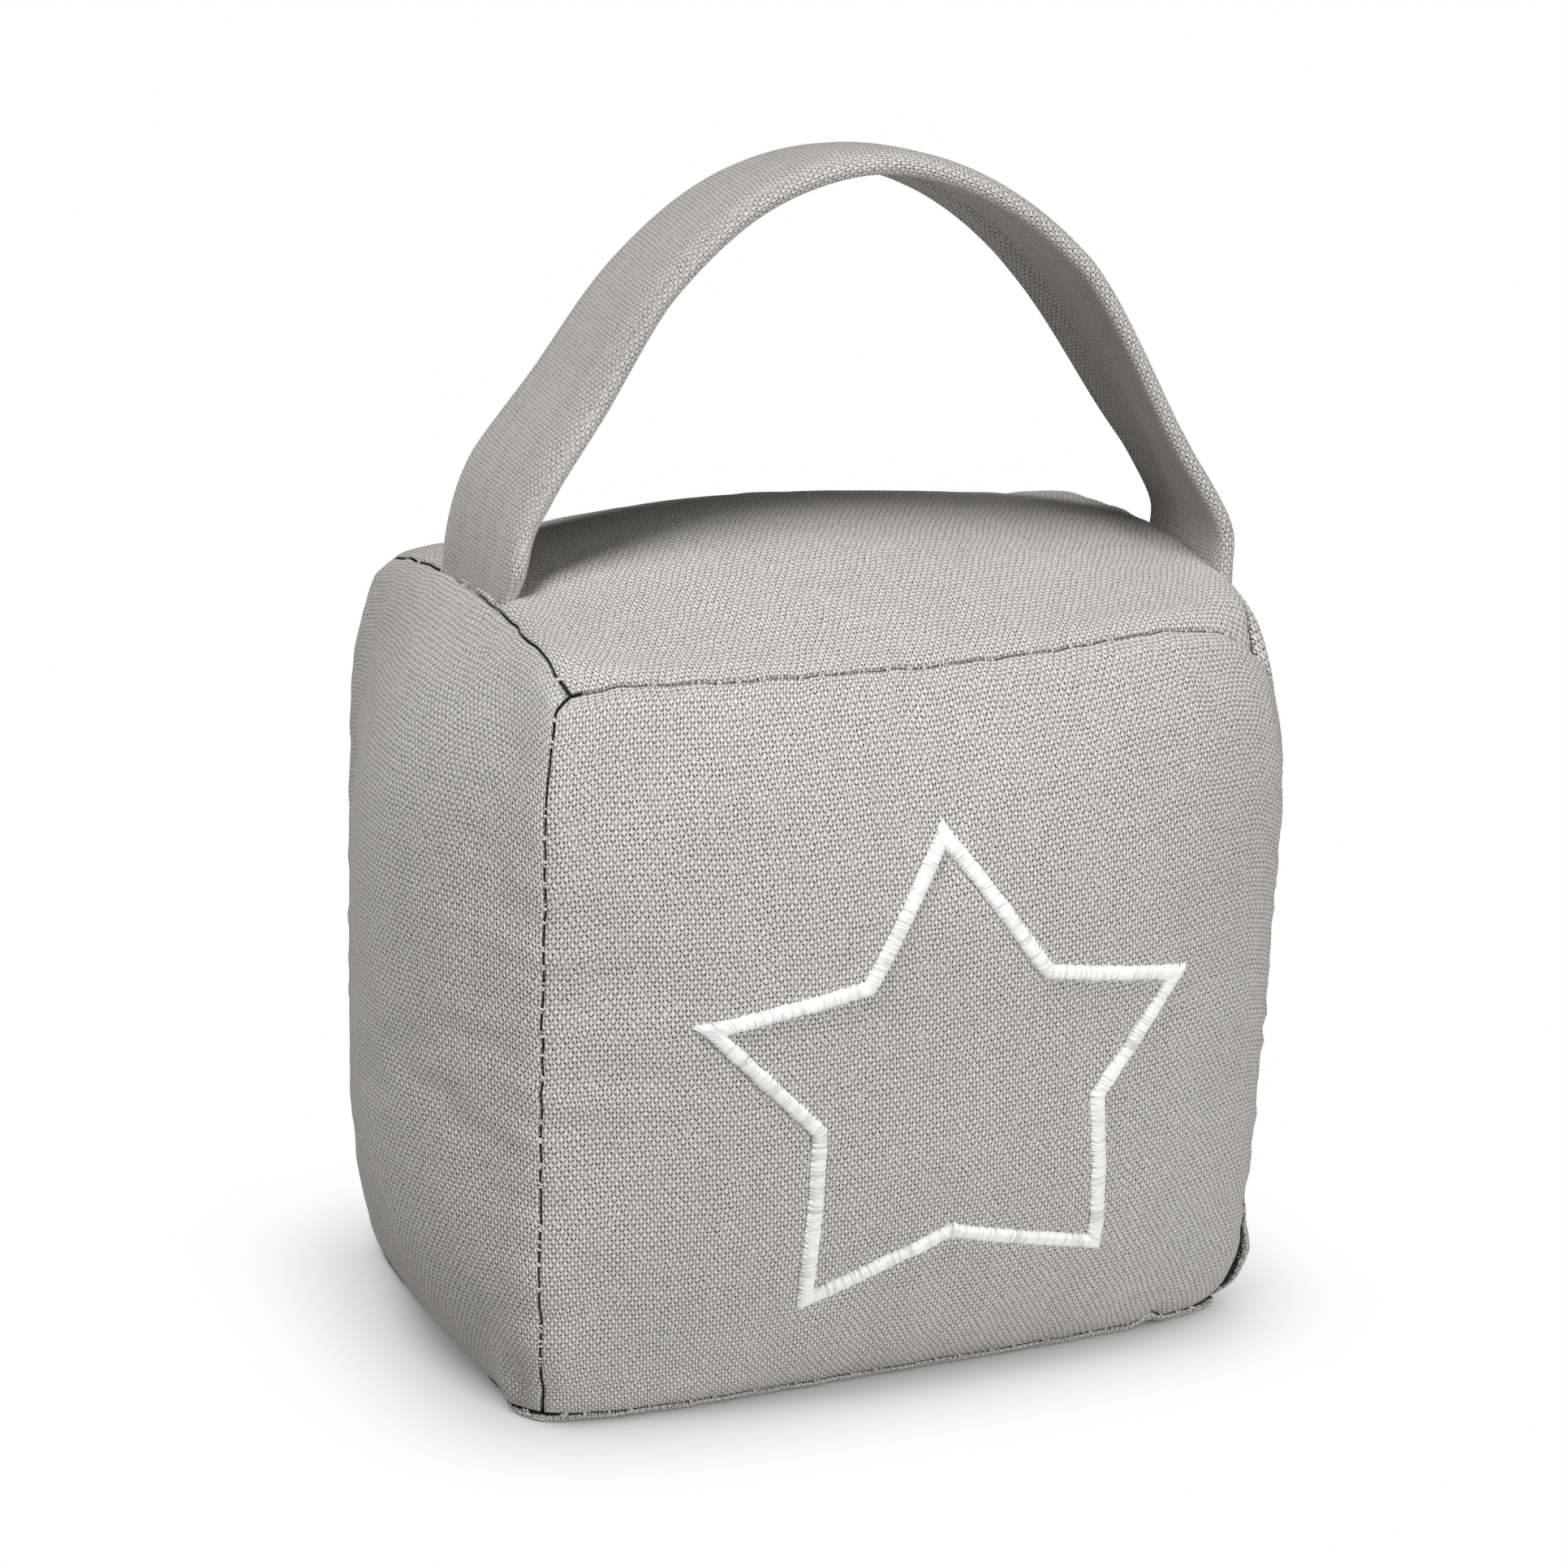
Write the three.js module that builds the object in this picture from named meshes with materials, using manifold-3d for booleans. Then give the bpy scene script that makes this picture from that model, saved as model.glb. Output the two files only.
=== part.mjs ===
// Weighted fabric door stop: a stuffed canvas block with a cloth carry strap sewn into
// the two side seams of its top, and the outline of a star embroidered on its front.
// Millimetres, +Z up. The front panel faces -Y and the base rests on Z = 0.
import * as THREE from 'three';
import Module from 'manifold-3d';

// Block, measured from seam to seam before the filling pushes the panels out
const BODY_WIDTH = 141;
const BODY_DEPTH = 93.5;
const BODY_HEIGHT = 140.8;

// How far the filling pushes the middle of each panel past its seams
const LEFT_BULGE = 20.5;
const RIGHT_BULGE = 9;
const FACE_BULGE = 18.9;
const TOP_CROWN = 12.9;

// Share by which the left panel bulges more beside the front than at its middle, and the
// shares by which the crown is higher to the left and to the back
const LEFT_LEANS_FORWARD = 0.48;
const CROWN_LEANS_LEFT = 0.28;
const CROWN_LEANS_BACK = 0.28;

// Exponents of the panels, across and up: a high one stays full until close to the seam
const SIDE_FULLNESS_ACROSS = 1.87;
const SIDE_FULLNESS_UP = 3.6;
const FACE_FULLNESS_ACROSS = 3.2;
const FACE_FULLNESS_UP = 2.78;
const CROWN_FULLNESS = 1.94;

// Exponents of the seams' own bows: along a seam, and across the panels beside it
const SEAM_FULLNESS = 4.8;
const SEAM_SHARPNESS = 5.5;
const CORNER_SHARPNESS = 9;

// How far the middle of each seam bows away from the straight line between its corners
const LEFT_SEAM_BOW_X = 4.3;
const LEFT_SEAM_BOW_Y = 6.1;
const RIGHT_SEAM_BOW_X = 6.6;
const RIGHT_SEAM_BOW_Y = 1;
const TOP_SIDE_INSET = 1.4;
const TOP_SIDE_RISE = 4.9;
const TOP_FACE_BOW = 2.2;
const TOP_FACE_SAG = 3.9;
const BASE_SIDE_BOW = 3.1;
const BASE_FACE_BOW = 3.8;

// How far the sewn corners are pulled in and down
const TOP_CORNER_INSET_X = 2.2;
const LEFT_CORNER_DROP = 2.8;
const RIGHT_CORNER_DROP = 12.2;
const BASE_CORNER_INSET_Y = 2;

// Lump that the turned seam allowance makes in the right panel's lower corners
const EAR_SIZE = 6;
const EAR_REACH = 15;
const EAR_HEIGHT = 8;
const EAR_FROM_EDGE = 5;

// The whole block leans a little to the right and is wider at the top
const LEAN = 3.7;
const TAPER = 2.1;

// Groove that each sewn seam makes, and the rounded rim of the base panel under its seam
const GROOVE_DEPTH = 0.8;
const GROOVE_REACH = 4;
const GROOVE_DRAW = 12;
const RIM_HEIGHT = 1.6;
const RIM_REACH = 4;

// Carry strap, a folded strip whose edges curl towards the hand
const STRAP_WIDTH = 30.2;
const STRAP_THICKNESS = 3.2;
const STRAP_CURL = 1.6;
const STRAP_RISE = 77.7;
const STRAP_LEFT_PLACE = 1.4;
const STRAP_RIGHT_PLACE = -18.5;
const STRAP_TUCK = 7;
const STRAP_CLEARANCE = 0.3;

// Arch of the strap: share of the span from left to right seam, share of the rise
const STRAP_ARCH = [
  [0, 0],
  [0.031, 0.208],
  [0.126, 0.469],
  [0.231, 0.745],
  [0.362, 0.935],
  [0.506, 1],
  [0.646, 0.936],
  [0.787, 0.741],
  [0.929, 0.34],
  [0.975, 0.198],
  [1.001, 0.082],
  [1, 0],
];

// Twist of the strap about its own length: share of the length, degrees
const STRAP_TWIST = [
  [0, 0],
  [0.12, -6.6],
  [0.3, 1.9],
  [0.5, 6],
  [0.7, 7.8],
  [0.88, -1.5],
  [1, 0],
];

// Embroidered star: corners of its line, across from the panel's middle and up from its
// lower seam, then the size of the raised stitching
const STAR_CORNERS = [
  [-1.7, 112.1],
  [17.4, 83.3],
  [43.3, 77.7],
  [28.6, 56.8],
  [32.3, 24.7],
  [3.1, 33.1],
  [-23.5, 22.6],
  [-23.7, 57.7],
  [-43.4, 79],
  [-15.7, 84.9],
];
const STITCH_WIDTH = 3.6;
const STITCH_HEIGHT = 1.1;
const STITCH_CLEARANCE = 0.35;

// Fineness of the faceted surfaces
const PANEL_STEP = 10;
const STRAP_STEP = 6;
const STAR_STEP = 5;
const EDGE_ROWS = [0, 0.6, 1.6, 4, 9];
const STRAP_FACE_STEPS = 8;
const STRAP_EDGE_STEPS = 3;
const STITCH_ARC_STEPS = 5;

const CANVAS_COLOUR = 0xaeaca6;
const STRAP_COLOUR = 0xb0aea8;
const THREAD_COLOUR = 0xeae7e0;
const CLOTH_ROUGHNESS = 0.95;
const THREAD_ROUGHNESS = 0.7;

const wasm = await Module();
wasm.setup();

// Falls from 1 at the seam to 0 at the given reach
function fade(distance, reach) {
  return Math.max(0, 1 - distance / reach) ** 2;
}

// Share of a bulge at a place from -1 to 1, which is none at the seams
function full(place, fullness) {
  return 1 - Math.abs(place) ** fullness;
}

// Position of a panel's point. A, b and c run from -1 to 1 across, back and up, and a
// point of a panel has one of them at -1 or 1.
function blockPoint(a, b, c) {
  const openA = full(a, SEAM_SHARPNESS);
  const openB = full(b, SEAM_SHARPNESS);
  const bowed = full(c, SEAM_FULLNESS);
  const cornerA = Math.abs(a) ** CORNER_SHARPNESS;
  const cornerB = Math.abs(b) ** CORNER_SHARPNESS;
  const cornerC = Math.abs(c) ** CORNER_SHARPNESS;
  const upper = c > 0;
  const height = (1 + c) / 2;

  const sideUp = full(c, SIDE_FULLNESS_UP);
  const sideBulge = a < 0 ? LEFT_BULGE * (1 - LEFT_LEANS_FORWARD * b) : RIGHT_BULGE;
  let outX = sideBulge * full(b, SIDE_FULLNESS_ACROSS) * sideUp;
  outX += (a < 0 ? LEFT_SEAM_BOW_X : RIGHT_SEAM_BOW_X) * bowed * (1 - openB);
  outX += (upper ? -TOP_SIDE_INSET : BASE_SIDE_BOW) * openB * (1 - sideUp);
  outX -= (upper ? TOP_CORNER_INSET_X : 0) * cornerB * cornerC;
  const faceUp = full(c, FACE_FULLNESS_UP);
  let outY = FACE_BULGE * full(a, FACE_FULLNESS_ACROSS) * faceUp;
  outY += (a < 0 ? LEFT_SEAM_BOW_Y : RIGHT_SEAM_BOW_Y) * bowed * (1 - openA);
  outY += (upper ? TOP_FACE_BOW : BASE_FACE_BOW) * openA * (1 - faceUp);
  outY -= (upper ? 0 : BASE_CORNER_INSET_Y) * cornerA * cornerC;

  const crownA = full(a, CROWN_FULLNESS);
  const crownB = full(b, CROWN_FULLNESS);
  const cornerDrop = THREE.MathUtils.lerp(LEFT_CORNER_DROP, RIGHT_CORNER_DROP, (1 + a) / 2);
  let rise = TOP_CROWN * crownA * crownB;
  rise *= (1 - CROWN_LEANS_LEFT * a) * (1 + CROWN_LEANS_BACK * b);
  rise += TOP_SIDE_RISE * crownB * (1 - crownA) - TOP_FACE_SAG * crownA * (1 - crownB);
  rise -= cornerDrop * cornerA * cornerB;

  const fromA = (1 - Math.abs(a)) * BODY_WIDTH / 2;
  const fromB = (1 - Math.abs(b)) * BODY_DEPTH / 2;
  const fromC = (1 - Math.abs(c)) * BODY_HEIGHT / 2;
  const earOff = Math.hypot(fromB - EAR_FROM_EDGE, height * BODY_HEIGHT - EAR_HEIGHT);
  outX += (a > 0 ? EAR_SIZE : 0) * fade(earOff, EAR_REACH) * fade(fromA, EAR_REACH);
  const pullX = GROOVE_DEPTH * fade(fromA, GROOVE_DRAW)
    * Math.max(fade(fromB, GROOVE_REACH), fade(fromC, GROOVE_REACH));
  const pullY = GROOVE_DEPTH * fade(fromB, GROOVE_DRAW)
    * Math.max(fade(fromA, GROOVE_REACH), fade(fromC, GROOVE_REACH));
  const pullZ = GROOVE_DEPTH * fade(fromC, GROOVE_DRAW) * height
    * Math.max(fade(fromA, GROOVE_REACH), fade(fromB, GROOVE_REACH));
  const rim = Math.max(fade(fromA, RIM_REACH), fade(fromB, RIM_REACH));
  const lift = RIM_HEIGHT * (1 - (1 - height) ** CORNER_SHARPNESS * (1 - rim));

  const halfWidth = BODY_WIDTH / 2 + outX - pullX + TAPER * (height - 0.5);
  const halfDepth = BODY_DEPTH / 2 + outY - pullY;
  return new THREE.Vector3(
    a * halfWidth + LEAN * (height - 0.5),
    b * halfDepth,
    height * (BODY_HEIGHT + rise) - pullZ + lift,
  );
}

// Grid stations from -1 to 1, close together beside the seams
function stations(length) {
  const half = length / 2;
  const near = EDGE_ROWS.map((row) => 1 - row / half);
  const inner = near[near.length - 1];
  const steps = Math.round(2 * inner * half / PANEL_STEP);
  const list = near.map((value) => -value);
  for (let i = 1; i < steps; i += 1) {
    list.push(inner * (2 * i / steps - 1));
  }
  return list.concat(near.reverse());
}

// Indexed surface whose equal corners are shared
class Surface {
  constructor() {
    this.positions = [];
    this.indices = [];
    this.known = new Map();
  }

  vertex(point, key) {
    if (key !== undefined && this.known.has(key)) {
      return this.known.get(key);
    }
    const index = this.positions.length / 3;
    this.positions.push(point.x, point.y, point.z);
    if (key !== undefined) {
      this.known.set(key, index);
    }
    return index;
  }

  quad(p, q, r, s) {
    this.indices.push(p, q, r, p, r, s);
  }

  geometry() {
    const geometry = new THREE.BufferGeometry();
    geometry.setAttribute('position', new THREE.Float32BufferAttribute(this.positions, 3));
    geometry.setIndex(this.indices);
    geometry.computeVertexNormals();
    return geometry;
  }
}

// Six panels sewn edge to edge into one closed block
function blockGeometry() {
  const surface = new Surface();
  const across = stations(BODY_WIDTH);
  const back = stations(BODY_DEPTH);
  const up = stations(BODY_HEIGHT);
  const panel = (us, vs, place) => {
    const at = (u, v) => {
      const [a, b, c] = place(u, v);
      return surface.vertex(blockPoint(a, b, c), [a, b, c].map((x) => x.toFixed(5)).join());
    };
    for (let i = 0; i < us.length - 1; i += 1) {
      for (let j = 0; j < vs.length - 1; j += 1) {
        const [u0, u1, v0, v1] = [us[i], us[i + 1], vs[j], vs[j + 1]];
        surface.quad(at(u0, v0), at(u1, v0), at(u1, v1), at(u0, v1));
      }
    }
  };
  panel(across, up, (u, v) => [u, -1, v]);
  panel(up, across, (u, v) => [v, 1, u]);
  panel(up, back, (u, v) => [-1, v, u]);
  panel(back, up, (u, v) => [1, u, v]);
  panel(across, back, (u, v) => [u, v, 1]);
  panel(back, across, (u, v) => [v, u, -1]);
  return surface.geometry();
}

// Centre line of the strap, from inside the left seam over the top to inside the right
function strapCurve(tuck) {
  const halfDepth = BODY_DEPTH / 2;
  const left = blockPoint(-1, STRAP_LEFT_PLACE / halfDepth, 1);
  const right = blockPoint(1, STRAP_RIGHT_PLACE / halfDepth, 1);
  const points = STRAP_ARCH.map(([across, rise]) => {
    const point = new THREE.Vector3().lerpVectors(left, right, across);
    point.z += rise * STRAP_RISE;
    return point;
  });
  const below = new THREE.Vector3(0, 0, -tuck);
  points.unshift(points[0].clone().add(below));
  points.push(points[points.length - 1].clone().add(below));
  return new THREE.CatmullRomCurve3(points, false, 'centripetal');
}

// Cross-section of the strap as pairs: across its width, and out from the hand
function strapSection(grow) {
  const half = STRAP_THICKNESS / 2 + grow;
  const reach = (STRAP_WIDTH - STRAP_THICKNESS) / 2;
  const section = [];
  for (const side of [1, -1]) {
    for (let i = 0; i <= STRAP_FACE_STEPS; i += 1) {
      const share = side * (2 * i / STRAP_FACE_STEPS - 1);
      section.push([share * reach, side * half - STRAP_CURL * share ** 4]);
    }
    for (let i = 1; i < STRAP_EDGE_STEPS; i += 1) {
      const angle = Math.PI * (0.5 - i / STRAP_EDGE_STEPS);
      const across = reach + half * Math.cos(angle);
      section.push([side * across, side * half * Math.sin(angle) - STRAP_CURL]);
    }
  }
  return section;
}

// Value at a share of the length, read between the pairs on either side of it
function valueAt(pairs, share) {
  const next = Math.max(1, pairs.findIndex(([at]) => at >= share));
  const [from, low] = pairs[next - 1];
  const [to, high] = pairs[next];
  return THREE.MathUtils.lerp(low, high, (share - from) / (to - from));
}

// Directions across the strap and out from the hand at a share of its length
function strapFrame(curve, share) {
  const along = curve.getTangentAt(share);
  const back = new THREE.Vector3(0, 1, 0);
  const across = back.addScaledVector(along, -back.dot(along)).normalize();
  across.applyAxisAngle(along, -THREE.MathUtils.degToRad(valueAt(STRAP_TWIST, share)));
  return { across, out: new THREE.Vector3().crossVectors(along, across) };
}

function strapGeometry(grow) {
  const surface = new Surface();
  const curve = strapCurve(STRAP_TUCK + grow);
  const section = strapSection(grow);
  const steps = Math.round(curve.getLength() / STRAP_STEP);
  const rings = [];
  for (let i = 0; i <= steps; i += 1) {
    const { across, out } = strapFrame(curve, i / steps);
    const centre = curve.getPointAt(i / steps);
    rings.push(section.map(([w, n]) => surface.vertex(
      centre.clone().addScaledVector(across, w).addScaledVector(out, n),
    )));
  }
  const sides = section.length;
  for (let i = 0; i < steps; i += 1) {
    for (let j = 0; j < sides; j += 1) {
      const k = (j + 1) % sides;
      surface.quad(rings[i][j], rings[i + 1][j], rings[i + 1][k], rings[i][k]);
    }
  }
  for (let j = 0; j < sides / 2 - 1; j += 1) {
    const k = sides - 1 - j;
    surface.quad(rings[0][j], rings[0][j + 1], rings[0][k - 1], rings[0][k]);
    surface.quad(rings[steps][k], rings[steps][k - 1], rings[steps][j + 1], rings[steps][j]);
  }
  return surface.geometry();
}

// Point at a height over the front panel, from its middle line and its lower seam
function overFront(across, up, height) {
  const at = (x, z) => blockPoint(2 * x / BODY_WIDTH, -1, 2 * z / BODY_HEIGHT - 1);
  const reach = STITCH_WIDTH;
  const right = at(across + reach, up).sub(at(across - reach, up));
  const upward = at(across, up + reach).sub(at(across, up - reach));
  const normal = right.cross(upward).normalize();
  return at(across, up).addScaledVector(normal, height);
}

// Raised line of satin stitching that follows the star's corners round
function starGeometry() {
  const surface = new Surface();
  const corners = STAR_CORNERS.map(([x, z]) => new THREE.Vector2(x, z));
  const count = corners.length;
  const sideOf = (i) => {
    const run = corners[(i + 1) % count].clone().sub(corners[i]).normalize();
    return new THREE.Vector2(run.y, -run.x);
  };
  const rings = [];
  const ring = (place, side) => {
    const points = [];
    for (let i = 0; i <= STITCH_ARC_STEPS; i += 1) {
      const share = 2 * i / STITCH_ARC_STEPS - 1;
      const spot = place.clone().addScaledVector(side, share * STITCH_WIDTH / 2);
      const height = STITCH_CLEARANCE + STITCH_HEIGHT * Math.sqrt(1 - share * share);
      points.push(surface.vertex(overFront(spot.x, spot.y, height)));
    }
    rings.push(points);
  };
  for (let i = 0; i < count; i += 1) {
    const before = sideOf((i + count - 1) % count);
    const after = sideOf(i);
    const mitre = before.clone().add(after).divideScalar(1 + before.dot(after));
    ring(corners[i], mitre);
    const next = corners[(i + 1) % count];
    const steps = Math.round(corners[i].distanceTo(next) / STAR_STEP);
    for (let j = 1; j < steps; j += 1) {
      ring(corners[i].clone().lerp(next, j / steps), after);
    }
  }
  const sides = STITCH_ARC_STEPS + 1;
  for (let i = 0; i < rings.length; i += 1) {
    const next = rings[(i + 1) % rings.length];
    for (let j = 0; j < sides; j += 1) {
      const k = (j + 1) % sides;
      surface.quad(rings[i][j], rings[i][k], next[k], next[j]);
    }
  }
  return surface.geometry();
}

function solid(geometry) {
  return new wasm.Manifold(new wasm.Mesh({
    numProp: 3,
    vertProperties: new Float32Array(geometry.getAttribute('position').array),
    triVerts: new Uint32Array(geometry.getIndex().array),
  }));
}

function geometryOf(manifold) {
  const mesh = manifold.getMesh();
  const geometry = new THREE.BufferGeometry();
  geometry.setAttribute('position', new THREE.BufferAttribute(mesh.vertProperties, 3));
  geometry.setIndex(new THREE.BufferAttribute(mesh.triVerts, 1));
  geometry.computeVertexNormals();
  return geometry;
}

function part(name, geometry, color, roughness) {
  const material = new THREE.MeshStandardMaterial({ color, roughness, metalness: 0 });
  const mesh = new THREE.Mesh(geometry, material);
  mesh.name = name;
  return mesh;
}

// The block's two top side seams are open where the ends of the strap are sewn in
const block = solid(blockGeometry()).subtract(solid(strapGeometry(STRAP_CLEARANCE)));

const doorStop = new THREE.Group();
doorStop.add(part('body', geometryOf(block), CANVAS_COLOUR, CLOTH_ROUGHNESS));
doorStop.add(part('carry_handle', strapGeometry(0), STRAP_COLOUR, CLOTH_ROUGHNESS));
doorStop.add(part('star_embroidery', starGeometry(), THREAD_COLOUR, THREAD_ROUGHNESS));

// The origin is on the floor under the middle of the whole object
const middle = new THREE.Box3().setFromObject(doorStop, true).getCenter(new THREE.Vector3());
doorStop.position.set(-middle.x, -middle.y, 0);
doorStop.updateMatrixWorld(true);

export default doorStop;
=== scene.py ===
# Weighted fabric door stop: a stuffed canvas block with a cloth carry strap sewn into the
# two side seams of its top, and the outline of a star in satin stitch on its front.
import math

import bpy
import numpy as np
from mathutils import Matrix, Vector


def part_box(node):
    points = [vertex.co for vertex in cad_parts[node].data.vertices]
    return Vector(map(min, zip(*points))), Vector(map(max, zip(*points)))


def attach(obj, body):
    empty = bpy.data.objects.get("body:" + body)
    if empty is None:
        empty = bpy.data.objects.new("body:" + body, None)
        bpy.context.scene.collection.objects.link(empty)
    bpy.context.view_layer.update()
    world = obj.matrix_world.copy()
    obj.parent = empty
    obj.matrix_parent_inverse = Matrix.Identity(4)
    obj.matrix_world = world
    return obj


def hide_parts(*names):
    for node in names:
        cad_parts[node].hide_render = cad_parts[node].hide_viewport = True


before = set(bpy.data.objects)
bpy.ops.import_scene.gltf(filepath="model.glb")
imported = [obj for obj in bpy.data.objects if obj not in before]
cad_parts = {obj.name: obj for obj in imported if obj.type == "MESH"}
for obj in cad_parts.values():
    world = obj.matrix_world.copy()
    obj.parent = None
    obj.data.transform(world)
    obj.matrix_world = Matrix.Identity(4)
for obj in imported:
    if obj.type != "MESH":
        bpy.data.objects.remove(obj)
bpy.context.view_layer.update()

# Cover of the block: six panels of plain-woven cotton canvas sewn edge to edge and turned
# right side out, so each seam is a narrow groove between two rounded lips. The sizes are
# seam to seam in millimetres, then how far the filling pushes every panel past its seams.
MM = 0.001
BODY_WIDTH, BODY_DEPTH, BODY_HEIGHT = 141, 93.5, 140.8
LEFT_BULGE, RIGHT_BULGE, FACE_BULGE, TOP_CROWN = 20.5, 9, 18.9, 12.9
LEFT_LEANS_FORWARD, CROWN_LEANS_LEFT, CROWN_LEANS_BACK = 0.48, 0.28, 0.28
SIDE_FULLNESS_ACROSS, SIDE_FULLNESS_UP = 1.87, 3.6
FACE_FULLNESS_ACROSS, FACE_FULLNESS_UP = 3.2, 2.78
CROWN_FULLNESS, SEAM_FULLNESS, SEAM_SHARPNESS, CORNER_SHARPNESS = 1.94, 4.8, 5.5, 9
LEFT_SEAM_BOW_X, LEFT_SEAM_BOW_Y, RIGHT_SEAM_BOW_X, RIGHT_SEAM_BOW_Y = 4.3, 6.1, 6.6, 1
TOP_SIDE_INSET, TOP_SIDE_RISE, TOP_FACE_BOW, TOP_FACE_SAG = 1.4, 4.9, 2.2, 3.9
BASE_SIDE_BOW, BASE_FACE_BOW = 3.1, 3.8
TOP_CORNER_INSET_X, BASE_CORNER_INSET_Y = 2.2, 2
LEFT_CORNER_DROP, RIGHT_CORNER_DROP, JOG_HEIGHT = 2.8, 12.2, 2.6
LEAN, TAPER = 3.7, 2.1
GROOVE_DEPTH, GROOVE_REACH, GROOVE_DRAW = 0.8, 4, 12
RIM_HEIGHT, RIM_SPARE_FROM, RIM_SPARE_REACH = 1.6, 2.5, 14


def fade(distance, reach):
    """Falls from 1 at the seam to 0 at the given reach."""
    return np.maximum(0, 1 - distance / reach) ** 2


def full(place, fullness):
    """Share of a bulge at a place from -1 to 1, which is none at the seams."""
    return 1 - np.abs(place) ** fullness


WANDER_VALUES = 512


def wander(place, step, seed):
    """Smooth random value from -1 to 1 along a length, new about every step."""
    values = np.random.default_rng(seed).uniform(-1, 1, WANDER_VALUES)
    x = place / step + WANDER_VALUES / 2
    low = np.floor(x).astype(int)
    share = x - low
    share = share * share * (3 - 2 * share)
    return values[low % WANDER_VALUES] * (1 - share) + values[(low + 1) % WANDER_VALUES] * share


# What makes the sewn cover less than regular, all in millimetres: the sharp slit at the
# bottom of each groove and the small puckers that the thread draws beside it.
SLIT_DEPTH, SLIT_WIDTH = 1.3, 0.13
PUCKER, PUCKER_STEP, PUCKER_REACH, PUCKER_APART = 0.3, 3.2, 5, 300

# Lump of turned seam allowance in the right panel's lower corners. Its lip, the last bit
# before the seam, is pulled in by the thread, and so is its foot above the base.
EAR_SIZE, EAR_TOP, EAR_LENGTH = 7, 20, 20
EAR_LIP, EAR_LIP_PULL, EAR_FOOT, EAR_FOOT_PULL = 0.8, 0.65, 2, 0.55

# Front of the base: the right corner is rounded off, the rim is tucked up in a notch 55 mm
# right of its middle, and the left corner bulges in a toe with a dent beside its seam.
LOW_REACH = 5
CORNER_ROUND, CORNER_ROUND_BACK, CORNER_ROUND_ACROSS = 1, 1.5, 12
NOTCH_RISE, NOTCH_PLACE, NOTCH_WIDTH, NOTCH_HEIGHT, NOTCH_BACK = 1.9, 55, 2.2, 4, 10
TOE, TOE_PLACE, TOE_WIDTH = 2.4, 7, 6
DENT, DENT_PLACE, DENT_WIDTH, DENT_HEIGHT, DENT_TALL, DENT_REACH = 1.3, 4.5, 1.4, 6, 4.5, 4
DENT_RIDGE, DENT_RIDGE_OFF, DENT_RIDGE_WIDTH = 0.6, 4, 2


def puckers(along_1, from_1, along_2, from_2, side, seed):
    """Unevenness of a panel beside its seams, by the place along and from each."""
    apart = PUCKER_APART * side
    first = wander(along_1 + apart, PUCKER_STEP, seed) * np.exp(-from_1 / PUCKER_REACH)
    second = wander(along_2 + apart, PUCKER_STEP, seed + 1) * np.exp(-from_2 / PUCKER_REACH)
    return PUCKER * (first + second)


def between(grid, p, q):
    """Smooth value between the places of a regular grid, with p and q from -1 to 1."""
    taps = []  # per way, the four nearest lines of the grid with their shares
    for x, count in ((p, grid.shape[0]), (q, grid.shape[1])):
        x = (x + 1) / 2 * (count - 1)
        low = np.clip(np.floor(x), 0, count - 2).astype(int)
        t = x - low
        shares = (-t + 2 * t ** 2 - t ** 3, 2 - 5 * t ** 2 + 3 * t ** 3,
                  t + 4 * t ** 2 - 3 * t ** 3, t ** 3 - t ** 2)
        taps.append([(np.clip(low + k - 1, 0, count - 1), w / 2) for k, w in enumerate(shares)])
    return sum(grid[i, j] * (wi * wj)[..., None] for i, wi in taps[0] for j, wj in taps[1])


folds = {}  # short folds of each panel, filled in by the simulation below


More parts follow.
